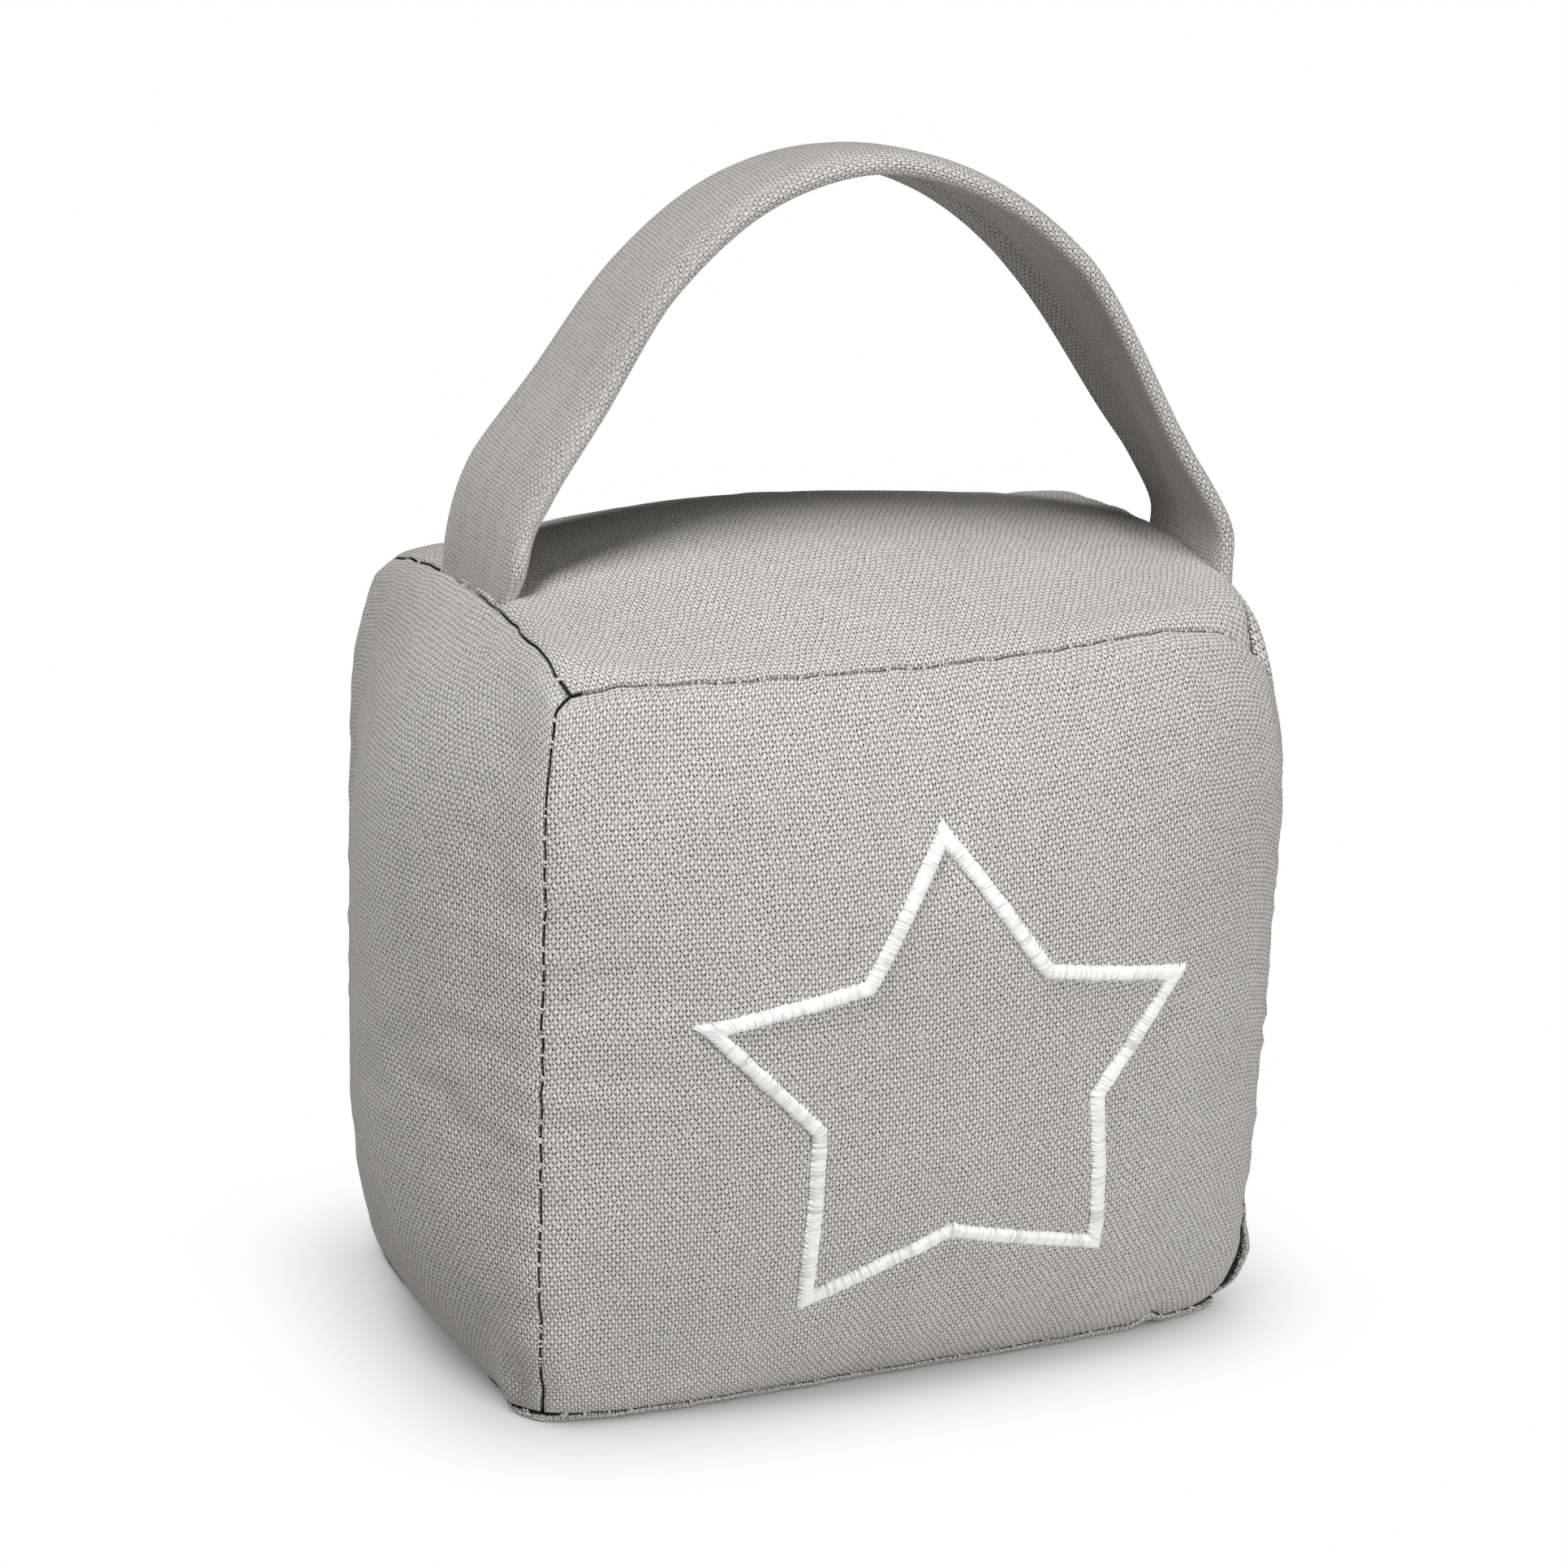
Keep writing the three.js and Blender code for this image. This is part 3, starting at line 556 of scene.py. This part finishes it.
# Carry strap: a strip of the same canvas folded in to four layers, 30 mm wide, with its
# ends sewn into the two side seams of the top. It stands up as an arch, a little twisted,
# and its right end is nearer the front than its left end.
STRAP_WIDTH, STRAP_THICKNESS, STRAP_CURL, STRAP_CURL_FULLNESS = 30.2, 3.2, 1.6, 4
STRAP_RISE, STRAP_TUCK = 77.7, 7
STRAP_LEFT_PLACE, STRAP_RIGHT_PLACE = 1.4, -18.5
STRAP_ARCH = (
    (0, 0), (0.031, 0.208), (0.126, 0.469), (0.231, 0.745), (0.362, 0.935), (0.506, 1),
    (0.646, 0.936), (0.787, 0.741), (0.929, 0.34), (0.975, 0.198), (1.001, 0.082), (1, 0),
)
STRAP_TWIST = ((0, 0), (0.12, -6.6), (0.3, 1.9), (0.5, 6), (0.7, 7.8), (0.88, -1.5), (1, 0))
STRAP_STEP, STRAP_FACE_STEPS, STRAP_EDGE_STEPS = 1.2, 56, 10

# The left end stands a little inside its seam and flares towards the front, both ends are
# flat, and the layers below show as low ridges along both faces. The inner face has a
# crease beside its back edge, over the shares of the strap's length from 0.48 to 0.82.
STRAP_INSIDE, STRAP_INSIDE_REACH, STRAP_FLAT = 2.3, 22, 16
STRAP_FLARE, STRAP_FLARE_PLACE, STRAP_FLARE_LENGTH = 1.8, 7, 5
RIDGE, RIDGE_STEP, RIDGE_SWAY, RIDGE_SWAY_STEP = 0.28, 3.4, 1.2, 28
RIDGE_FADE, RIDGE_FADE_STEP = 0.4, 17
CREASE_DEPTH, CREASE_WIDTH, CREASE_IN, CREASE_FROM, CREASE_TO = 1.1, 0.9, 4.2, 0.48, 0.82

# The strap's yarns are drawn tighter than the cover's by the pull on it, and looser over
# its two rolled edges.
STRAP_YARNS, EDGE_YARNS = 1.15, 0.95


def smooth_line(points, step):
    """Points every so many mm along a smooth line through the given ones, and their places."""
    ends = [2 * points[0] - points[1], 2 * points[-1] - points[-2]]
    run = np.array([ends[0], *points, ends[1]])
    line = []
    for p0, p1, p2, p3 in zip(run, run[1:], run[2:], run[3:]):
        d0, d1, d2 = (np.linalg.norm(q - p) ** 0.5 for p, q in ((p0, p1), (p1, p2), (p2, p3)))
        m1 = ((p1 - p0) / d0 - (p2 - p0) / (d0 + d1) + (p2 - p1) / d1) * d1
        m2 = ((p2 - p1) / d1 - (p3 - p1) / (d1 + d2) + (p3 - p2) / d2) * d1
        t = np.linspace(0, 1, 40, endpoint=False)[:, None]
        line.append(p1 + m1 * t + (3 * (p2 - p1) - 2 * m1 - m2) * t ** 2
                    + (2 * (p1 - p2) + m1 + m2) * t ** 3)
    line = np.concatenate([*line, run[-2:-1]])
    length = np.concatenate([[0], np.cumsum(np.linalg.norm(np.diff(line, axis=0), axis=1))])
    at = np.linspace(0, length[-1], round(length[-1] / step) + 1)
    return np.stack([np.interp(at, length, line[:, k]) for k in range(3)], -1), at


left_end, right_end = (
    cover_points(np.array(side), np.array(place * 2 / BODY_DEPTH), np.array(1.0), sewn=False)
    for side, place in ((-1.0, STRAP_LEFT_PLACE), (1.0, STRAP_RIGHT_PLACE)))
arch = [left_end + (right_end - left_end) * across + [0, 0, STRAP_RISE * rise]
        for across, rise in STRAP_ARCH]
arch = [arch[0] - [0, 0, STRAP_TUCK], *arch, arch[-1] - [0, 0, STRAP_TUCK]]
middle, run = smooth_line(arch, STRAP_STEP)
run_share = run / run[-1]
middle[:, 0] += STRAP_INSIDE * np.exp(-(run / STRAP_INSIDE_REACH) ** 2)
along = np.gradient(middle, axis=0)
along /= np.linalg.norm(along, axis=1, keepdims=True)
across = np.array([0, 1, 0]) - along * along[:, 1:2]
across /= np.linalg.norm(across, axis=1, keepdims=True)
out = np.cross(along, across)
turn = -np.radians(np.interp(run_share, *np.transpose(STRAP_TWIST)))[:, None]
across, out = (across * np.cos(turn) + out * np.sin(turn),
               out * np.cos(turn) - across * np.sin(turn))

half_thick = STRAP_THICKNESS / 2
reach = (STRAP_WIDTH - STRAP_THICKNESS) / 2
section = []
for side in (1, -1):
    for i in range(STRAP_FACE_STEPS + 1):
        w = side * (2 * i / STRAP_FACE_STEPS - 1) * reach
        section.append((w, side * half_thick))
    for i in range(1, STRAP_EDGE_STEPS):
        angle = math.pi * (0.5 - i / STRAP_EDGE_STEPS)
        section.append((side * (reach + half_thick * math.cos(angle)),
                        side * half_thick * math.sin(angle)))
w, n = np.array(section).T
flat_ends = 1 - np.exp(-((np.minimum(run, run[-1] - run) - STRAP_TUCK) / STRAP_FLAT) ** 2)
bend = np.abs(np.clip(w / reach, -1, 1)) ** STRAP_CURL_FULLNESS
bend = -STRAP_CURL * flat_ends[:, None] * bend
flare = np.exp(-((run - STRAP_TUCK - STRAP_FLARE_PLACE) / STRAP_FLARE_LENGTH) ** 2)
flare = STRAP_FLARE * flare
creased = np.clip((run_share - CREASE_FROM) / (CREASE_TO - CREASE_FROM), 0, 1)[:, None]
creased = CREASE_DEPTH * np.sin(np.pi * creased) * (n < 0)
creased = creased * np.exp(-((w - reach + CREASE_IN) / CREASE_WIDTH) ** 2)
sway = RIDGE_SWAY * wander(run, RIDGE_SWAY_STEP, seed=51)[:, None]
ridges = RIDGE * wander(w + sway, RIDGE_STEP, seed=52)
ridges *= 1 - RIDGE_FADE + RIDGE_FADE * wander(run, RIDGE_FADE_STEP, seed=53)[:, None]
ridges *= np.sign(n) * (np.abs(w) < reach)
stretch = w - flare[:, None] * np.clip(-w / reach, 0, 1) ** 2
strap_points = (middle[:, None] + across[:, None] * stretch[..., None]
                + out[:, None] * (n + bend + creased + ridges)[..., None])
rings, ring_points = strap_points.shape[:2]
numbers = np.arange(rings * ring_points).reshape(rings, ring_points)
next_ones = np.roll(numbers, -1, axis=1)
strap_faces = np.stack([numbers[:-1], next_ones[:-1], next_ones[1:], numbers[1:]], -1)
girth = np.linalg.norm(np.roll(strap_points, -1, axis=1) - strap_points, axis=2)
girth[:, np.abs(np.roll(w, -1) + w) > 2 * reach] *= EDGE_YARNS
girth = STRAP_YARNS * np.cumsum(np.pad(girth, ((0, 0), (1, 0))), axis=1)
strap_places = np.empty((rings - 1, ring_points, 4, 2))
for corner, (near, onward) in enumerate(((0, 0), (1, 0), (1, 1), (0, 1))):
    rows = slice(onward, rings - 1 + onward)
    strap_places[:, :, corner, 0] = girth[rows, near:ring_points + near]
    strap_places[:, :, corner, 1] = STRAP_YARNS * run[rows, None]
caps = []
for ring, flip in ((numbers[0], False), (numbers[-1], True)):
    for j in range(ring_points // 2 - 1):
        k = ring_points - 1 - j
        quad = [ring[j], ring[k], ring[k - 1], ring[j + 1]]
        caps.append(quad[::-1] if flip else quad)
strap_faces = np.concatenate([strap_faces.reshape(-1, 4), caps])
strap_places = np.concatenate([strap_places.reshape(-1, 2), np.zeros((4 * len(caps), 2))])
strap_points = (strap_points.reshape(-1, 3) + SHIFT) * MM
strap = mesh_object("carry_strap", strap_points, strap_faces, strap_places)
strap.data.materials.append(canvas("folded_cotton_canvas", shade=0.8, bands=0.3))
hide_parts("carry_handle")
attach(strap, "root")

# Thread of the seams: a lockstitch every 4 mm along all twelve seams. Of each stitch only
# a few fibres show, with the cloth's own yarns that it pinches, as a small light tuft
# across the dark groove. Most stitches show one, and in the top's side seams few do.
SEAM_STITCH_PITCH, SEAM_THREAD, SEAM_STITCH_LIP, SEAM_UNEVEN = 4.1, 0.38, 0.24, 0.14
SEAM_THREAD_RISE, SEAM_THREAD_STRAY = 0.12, 0.3
TUFT_LOOPS, TUFT_SPREAD, TUFT_SHARE, TOP_SIDE_TUFT_SHARE = 3, 0.5, 0.8, 0.3


def stitches(name, places, across, out, material, thread, rise, points, stray, seed):
    """Loops of thread over the given places, all lengths in mm, by Geometry Nodes."""
    mesh = bpy.data.meshes.new(name)
    mesh.from_pydata(((places + SHIFT) * MM).tolist(), [], [])
    for key, values in (("across", across * MM), ("out", out)):
        attribute = mesh.attributes.new(key, "FLOAT_VECTOR", "POINT")
        attribute.data.foreach_set("vector", np.ravel(values))
    holder = bpy.data.objects.new(name, mesh)
    bpy.context.scene.collection.objects.link(holder)

    tree = bpy.data.node_groups.new(name, "GeometryNodeTree")
    tree.interface.new_socket("Geometry", in_out="INPUT", socket_type="NodeSocketGeometry")
    tree.interface.new_socket("Geometry", in_out="OUTPUT", socket_type="NodeSocketGeometry")
    sizes = {"Thread diameter": thread * MM, "Loop height": rise * MM, "Loop points": points,
             "Stray ends": stray * MM, "Seed": seed}
    keys = {}
    for label, value in sizes.items():
        kind = "NodeSocketInt" if isinstance(value, int) else "NodeSocketFloat"
        keys[label] = tree.interface.new_socket(label, in_out="INPUT", socket_type=kind).identifier
    given = node(tree, "NodeGroupInput").outputs

    # One loop, 1 long from end to end and bowed up between them
    line = node(tree, "GeometryNodeCurvePrimitiveLine", {
        "Start": (-0.5, 0, 0), "End": (0.5, 0, 0),
    })
    line = node(tree, "GeometryNodeResampleCurve", {"Curve": line, "Count": given["Loop points"]})
    spot = node(tree, "ShaderNodeSeparateXYZ", (node(tree, "GeometryNodeInputPosition"),))
    half = node(tree, "ShaderNodeMath", (spot, 2.0), operation="MULTIPLY")
    fall = node(tree, "ShaderNodeMath", (half, 4.0), operation="POWER")
    bow = node(tree, "ShaderNodeMath", (1.0, fall), operation="SUBTRACT")
    lift = node(tree, "ShaderNodeMath", (bow, given["Loop height"]), operation="MULTIPLY")
    loop = node(tree, "GeometryNodeSetPosition", {
        "Geometry": line, "Offset": node(tree, "ShaderNodeCombineXYZ", {"Z": lift}),
    })
    radius = node(tree, "ShaderNodeMath", (given["Thread diameter"], 0.5), operation="MULTIPLY")
    ring = node(tree, "GeometryNodeCurvePrimitiveCircle", {"Resolution": 5, "Radius": radius})
    loop = node(tree, "GeometryNodeCurveToMesh", {
        "Curve": loop, "Profile Curve": ring, "Fill Caps": True,
    })
    loop = node(tree, "GeometryNodeSetShadeSmooth", {"Geometry": loop, "Shade Smooth": True})

    # One loop at each place, turned and stretched across, with its ends a little astray
    crossing = node(tree, "GeometryNodeInputNamedAttribute", ("across",), data_type="FLOAT_VECTOR")
    upright = node(tree, "GeometryNodeInputNamedAttribute", ("out",), data_type="FLOAT_VECTOR")
    chance = node(tree, "FunctionNodeRandomValue", {
        0: (-1, -1, -1), 1: (1, 1, 1), "Seed": given["Seed"],
    }, data_type="FLOAT_VECTOR")
    stray_end = node(tree, "ShaderNodeVectorMath", {
        0: chance, "Scale": given["Stray ends"],
    }, operation="SCALE")
    crossing = node(tree, "ShaderNodeVectorMath", (crossing, stray_end), operation="ADD")
    length = node(tree, "ShaderNodeVectorMath", (crossing,), operation="LENGTH")
    scale = node(tree, "ShaderNodeCombineXYZ", {"X": length.outputs["Value"], "Y": 1.0, "Z": 1.0})
    turn = node(tree, "FunctionNodeAxesToRotation", {
        "Primary Axis": crossing, "Secondary Axis": upright,
    }, primary_axis="X", secondary_axis="Z")
    holes = node(tree, "GeometryNodeMeshToPoints", {"Mesh": given["Geometry"]})
    laid = node(tree, "GeometryNodeInstanceOnPoints", {
        "Points": holes, "Instance": loop, "Rotation": turn, "Scale": scale,
    })
    tint = node(tree, "FunctionNodeRandomValue", {"Seed": given["Seed"]}, data_type="FLOAT")
    laid = node(tree, "GeometryNodeStoreNamedAttribute", {
        "Geometry": laid, "Name": "tint", "Value": tint.outputs[1],
    }, data_type="FLOAT", domain="INSTANCE")
    plain = node(tree, "GeometryNodeRealizeInstances", {"Geometry": laid})
    done = node(tree, "GeometryNodeSetMaterial", {"Geometry": plain, "Material": material})
    node(tree, "NodeGroupOutput", (done,))

    modifier = holder.modifiers.new("stitches", "NODES")
    modifier.node_group = tree
    for label, value in sizes.items():
        modifier[keys[label]] = value
    shown = holder.evaluated_get(bpy.context.evaluated_depsgraph_get())
    sewn = bpy.data.meshes.new_from_object(shown)
    holder.modifiers.remove(modifier)
    holder.data = sewn
    return holder


BLOTCHES_PER_MM, DARK_UP_TO, LIGHT_FROM = 0.32, 0.35, 0.95


def thread_material(name, dark, light, sheen, rough):
    """Twisted sewing thread, each stitch a little lighter or darker than the next."""
    made = bpy.data.materials.new(name)
    made.use_nodes = True
    tree = made.node_tree
    tree.nodes.clear()
    tint = node(tree, "ShaderNodeAttribute", attribute_name="tint")
    place = node(tree, "ShaderNodeTexCoord").outputs["Object"]
    blotch = node(tree, "ShaderNodeTexNoise", {
        "Vector": place, "Scale": BLOTCHES_PER_MM / MM, "Detail": 2.0,
    })
    share = node(tree, "ShaderNodeMath", (tint.outputs["Fac"], blotch), operation="ADD")
    ramp = node(tree, "ShaderNodeValToRGB", (share,))
    stops = ((DARK_UP_TO, dark), (LIGHT_FROM, light))
    for stop, (position, colour) in zip(ramp.color_ramp.elements, stops):
        stop.position = position
        stop.color = linear(colour)
    surface = node(tree, "ShaderNodeBsdfPrincipled", {
        "Base Color": ramp, "Roughness": rough, "Sheen Weight": sheen, "Specular IOR Level": 0.3,
    })
    node(tree, "ShaderNodeOutputMaterial", {"Surface": surface})
    return made


chance = np.random.default_rng(7)
tufts = []
halves = np.array([BODY_WIDTH, BODY_DEPTH, BODY_HEIGHT]) / 2
for free in range(3):
    first, second = [axis for axis in range(3) if axis != free]
    for one in (-1, 1):
        for two in (-1, 1):
            count = round(2 * halves[free] / SEAM_STITCH_PITCH)
            at = np.arange(1, count) + chance.uniform(-SEAM_UNEVEN, SEAM_UNEVEN, count - 1)
            top_side = free == 1 and two == 1
            shown = chance.random(count - 1) < (TOP_SIDE_TUFT_SHARE if top_side else TUFT_SHARE)
            at = np.repeat(at[shown], TUFT_LOOPS)
            beside_ear = (free, one, two) == (2, 1, -1)
            if beside_ear:
                at = at[at * SEAM_STITCH_PITCH > EAR_TOP]
            at += chance.normal(0, TUFT_SPREAD / SEAM_STITCH_PITCH, len(at))
            bottom = np.empty((len(at), 3))
            bottom[:, free], bottom[:, first], bottom[:, second] = at / count * 2 - 1, one, two
            lips = []
            for axis in (first, second):
                lip = bottom.copy()
                lip[:, axis] *= 1 - SEAM_STITCH_LIP / halves[axis]
                lips.append(cover_points(*lip.T))
            bottom = cover_points(*bottom.T)
            between_lips = (lips[0] + lips[1]) / 2
            tufts.append((between_lips, lips[1] - lips[0], between_lips - bottom))
seam_places, seam_across, seam_out = (np.concatenate(rows) for rows in zip(*tufts))
seam_out /= np.linalg.norm(seam_out, axis=1, keepdims=True)
seam_thread = thread_material("grey_sewing_thread", "#8c8a85", "#d2d0cb", sheen=0.1, rough=0.9)
seams = stitches("seam_stitches", seam_places, seam_across, seam_out, seam_thread,
                 thread=SEAM_THREAD, rise=SEAM_THREAD_RISE, points=5,
                 stray=SEAM_THREAD_STRAY, seed=3)
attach(seams, "root")

# Embroidered star: the outline of a five-pointed star in white rayon thread, satin
# stitched through the front panel over a ring of padding thread, with mitred corners. Its
# corners are in millimetres, across from the panel's middle and up from its lower seam.
STAR_CORNERS = (
    (-1.7, 112.1), (17.4, 83.3), (43.3, 77.7), (28.6, 56.8), (32.3, 24.7),
    (3.1, 33.1), (-23.5, 22.6), (-23.7, 57.7), (-43.4, 79), (-15.7, 84.9),
)
STITCH_WIDTH, STITCH_HEIGHT, STITCH_PITCH, STITCH_THREAD = 2.75, 0.8, 0.34, 0.56
STITCH_OFF_CLOTH, STITCH_STRAY = 0.12, 0.25
MITRE_REACH, MITRE_LEAST, MITRE_FALL = 1.9, 0.6, 1.5

# Section of the padding: shares of the stitch's width, with the height over the cloth
PADDING = ((0.08, -0.3), (0.25, 0.5), (0.5, 0.72), (0.75, 0.5), (0.92, -0.3), (0.5, -0.5))


def over_front(across, up):
    """Places and outward directions on the front panel, across from its middle and up."""
    def at(x, z):
        return cover_points(2 * x / BODY_WIDTH, np.full_like(x, -1.0), 2 * z / BODY_HEIGHT - 1)
    apart = STITCH_WIDTH
    rightward = at(across + apart, up) - at(across - apart, up)
    upward = at(across, up + apart) - at(across, up - apart)
    out = np.cross(rightward, upward)
    return at(across, up), out / np.linalg.norm(out, axis=1, keepdims=True)


corners = np.array(STAR_CORNERS, float)
ways = np.roll(corners, -1, axis=0) - corners
side_lengths = np.linalg.norm(ways, axis=1)
ways /= side_lengths[:, None]
outwards = np.stack([ways[:, 1], -ways[:, 0]], -1)
before = np.roll(ways, 1, axis=0)
bends = np.arctan2(before[:, 0] * ways[:, 1] - before[:, 1] * ways[:, 0], (before * ways).sum(1))
mitres = np.tan(bends / 2) * STITCH_WIDTH / 2
rails = []
for i, (start, way, length, outward) in enumerate(zip(corners, ways, side_lengths, outwards)):
    end_mitres = mitres[i], mitres[(i + 1) % len(corners)]
    count = round((length + sum(np.abs(end_mitres))) / STITCH_PITCH)
    at = (np.arange(count) + 0.5) / count * length
    slant = np.zeros(count)
    for mitre, off in ((-end_mitres[0], at), (end_mitres[1], length - at)):
        reach = MITRE_REACH * abs(mitre) + MITRE_LEAST
        slant += mitre * np.maximum(0, 1 - off / reach) ** MITRE_FALL
    for edge in (1, -1):
        holes_at = start + way * (at + edge * slant)[:, None]
        rails.append(holes_at + edge * outward * STITCH_WIDTH / 2)
outer, inner = np.concatenate(rails[::2]), np.concatenate(rails[1::2])
outer_at, inner_at = (over_front(*rail.T)[0] for rail in (outer, inner))
star_middle, star_out = over_front(*((outer + inner) / 2).T)
satin = thread_material("white_rayon_thread", "#cdcdcc", "#f6f6f5", sheen=0.1, rough=0.6)
star_places = (outer_at + inner_at) / 2 + STITCH_OFF_CLOTH * star_out
star = stitches("star_satin_stitches", star_places, outer_at - inner_at, star_out, satin,
                thread=STITCH_THREAD, rise=STITCH_HEIGHT, points=8, stray=STITCH_STRAY, seed=5)
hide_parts("star_embroidery")
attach(star, "root")

padding_places = np.stack([(1 - t) * outer + t * inner for t, _ in PADDING], 1)
padding_at, padding_out = over_front(*padding_places.reshape(-1, 2).T)
padding_at = padding_at + padding_out * np.tile([rise for _, rise in PADDING], len(outer))[:, None]
around = np.arange(len(padding_at)).reshape(len(outer), -1)
ahead, next_over = np.roll(around, -1, axis=0), np.roll(around, -1, axis=1)
padding_faces = np.stack([around, next_over, np.roll(next_over, -1, axis=0), ahead], -1)
padding = mesh_object("star_padding", (padding_at + SHIFT) * MM, padding_faces.reshape(-1, 4))
padding.data.materials.append(
    thread_material("white_padding_thread", "#e4e4e2", "#f6f6f5", sheen=0.0, rough=0.8))
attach(padding, "root")

# Floor and studio: a plain white floor that keeps only the object's soft shadow close to it,
# partly cast by the lamps on its faint paint and partly a painted contact shadow in its glow,
# a softbox high on the left, a weaker one low in front, and hardly any other light.
# The camera sees the floor glow, and the object is lit by its paint.
FLOOR_REACH = 3
FLOOR_GLOW, CONTACT_SHADOW_REACH = 0.76, 0.035
SHADOW_HALF_BOX, SHADOW_FADE = (0.06, 0.04, 0), 0.055
floor_corners = [(x * FLOOR_REACH, y * FLOOR_REACH, 0)
                 for x, y in ((-1, -1), (1, -1), (1, 1), (-1, 1))]
floor = mesh_object("studio_floor", floor_corners, [(0, 1, 2, 3)])
white = bpy.data.materials.new("white_studio_floor")
white.use_nodes = True
tree = white.node_tree
tree.nodes.clear()
seen = node(tree, "ShaderNodeLightPath")
paint = node(tree, "ShaderNodeBsdfDiffuse", {"Color": linear("#c8c8c8")})
faint = node(tree, "ShaderNodeBsdfDiffuse", {"Color": linear("#8a8a8a")})
# Painted contact shadow: the glow that the camera sees is dimmed by ambient occlusion
open_sky = node(tree, "ShaderNodeAmbientOcclusion", {"Distance": CONTACT_SHADOW_REACH}, samples=8)
glow = node(tree, "ShaderNodeMath", (open_sky.outputs["AO"], FLOOR_GLOW), operation="MULTIPLY")
glow = node(tree, "ShaderNodeEmission", {"Color": linear("#ffffff"), "Strength": glow})
near = node(tree, "ShaderNodeAddShader", (faint, glow))
far = node(tree, "ShaderNodeEmission", {"Color": linear("#ffffff"), "Strength": 1.0})
place = node(tree, "ShaderNodeTexCoord").outputs["Object"]
off = node(tree, "ShaderNodeVectorMath", (place,), operation="ABSOLUTE")
off = node(tree, "ShaderNodeVectorMath", (off, SHADOW_HALF_BOX), operation="SUBTRACT")
off = node(tree, "ShaderNodeVectorMath", (off, (0, 0, 0)), operation="MAXIMUM")
off = node(tree, "ShaderNodeVectorMath", (off,), operation="LENGTH").outputs["Value"]
off = node(tree, "ShaderNodeMapRange", (off, 0.0, SHADOW_FADE, 0.0, 1.0),
           interpolation_type="SMOOTHSTEP")
both = node(tree, "ShaderNodeMixShader", (off, near, far))
surface = node(tree, "ShaderNodeMixShader", (seen.outputs["Is Camera Ray"], paint, both))
node(tree, "ShaderNodeOutputMaterial", {"Surface": surface})
floor.data.materials.append(white)

DIM_ROOM = 0.02
world = bpy.data.worlds.new("studio")
bpy.context.scene.world = world
world.use_nodes = True
tree = world.node_tree
tree.nodes.clear()
seen = node(tree, "ShaderNodeLightPath").outputs["Is Camera Ray"]
glow = node(tree, "ShaderNodeMath", (seen, 1 - DIM_ROOM, DIM_ROOM), operation="MULTIPLY_ADD")
sky = node(tree, "ShaderNodeBackground", {"Color": linear("#ffffff"), "Strength": glow})
node(tree, "ShaderNodeOutputWorld", {"Surface": sky})

LAMP_SIZE, LAMP_DISTANCE, LAMP_AIM = 0.55, 1.5, Vector((0, 0, 0.1))
LAMPS = (("high_left_softbox", -62, 64, 22), ("low_front_softbox", 20, 12, 13.5))


def towards(azimuth, elevation):
    """Direction from the object, turned from straight in front and up, in degrees."""
    azimuth, elevation = math.radians(azimuth), math.radians(elevation)
    level = math.cos(elevation)
    return Vector((math.sin(azimuth) * level, -math.cos(azimuth) * level, math.sin(elevation)))


for name, azimuth, elevation, power in LAMPS:
    lamp = bpy.data.lights.new(name, "AREA")
    lamp.size = LAMP_SIZE
    lamp.energy = power
    holder = bpy.data.objects.new(name, lamp)
    bpy.context.scene.collection.objects.link(holder)
    away = towards(azimuth, elevation)
    holder.location = LAMP_AIM + LAMP_DISTANCE * away
    holder.rotation_euler = away.to_track_quat("Z", "Y").to_euler()

# Camera at the photograph's viewing angle, distance and lens, rolled a little as it was
AZIMUTH, ELEVATION, ROLL = -24.182, 17.637, math.radians(-0.902)
DISTANCE, TARGET, LENS, SENSOR = 0.916982, Vector((-0.004354, 0, 0.101765)), 110.79, 36
back = towards(AZIMUTH, ELEVATION)
right = Vector((math.cos(math.radians(AZIMUTH)), math.sin(math.radians(AZIMUTH)), 0))
upward = back.cross(right)
lens = bpy.data.cameras.new("camera")
lens.lens, lens.sensor_width, lens.sensor_fit = LENS, SENSOR, "HORIZONTAL"
camera = bpy.data.objects.new("camera", lens)
bpy.context.scene.collection.objects.link(camera)
turned = (right * math.cos(ROLL) - upward * math.sin(ROLL),
          right * math.sin(ROLL) + upward * math.cos(ROLL), back)
stand = Matrix.Translation(TARGET + Vector(SHIFT) * MM + back * DISTANCE)
camera.matrix_world = stand @ Matrix(turned).transposed().to_4x4()
bpy.context.scene.camera = camera

bpy.context.scene.view_settings.view_transform = "Standard"
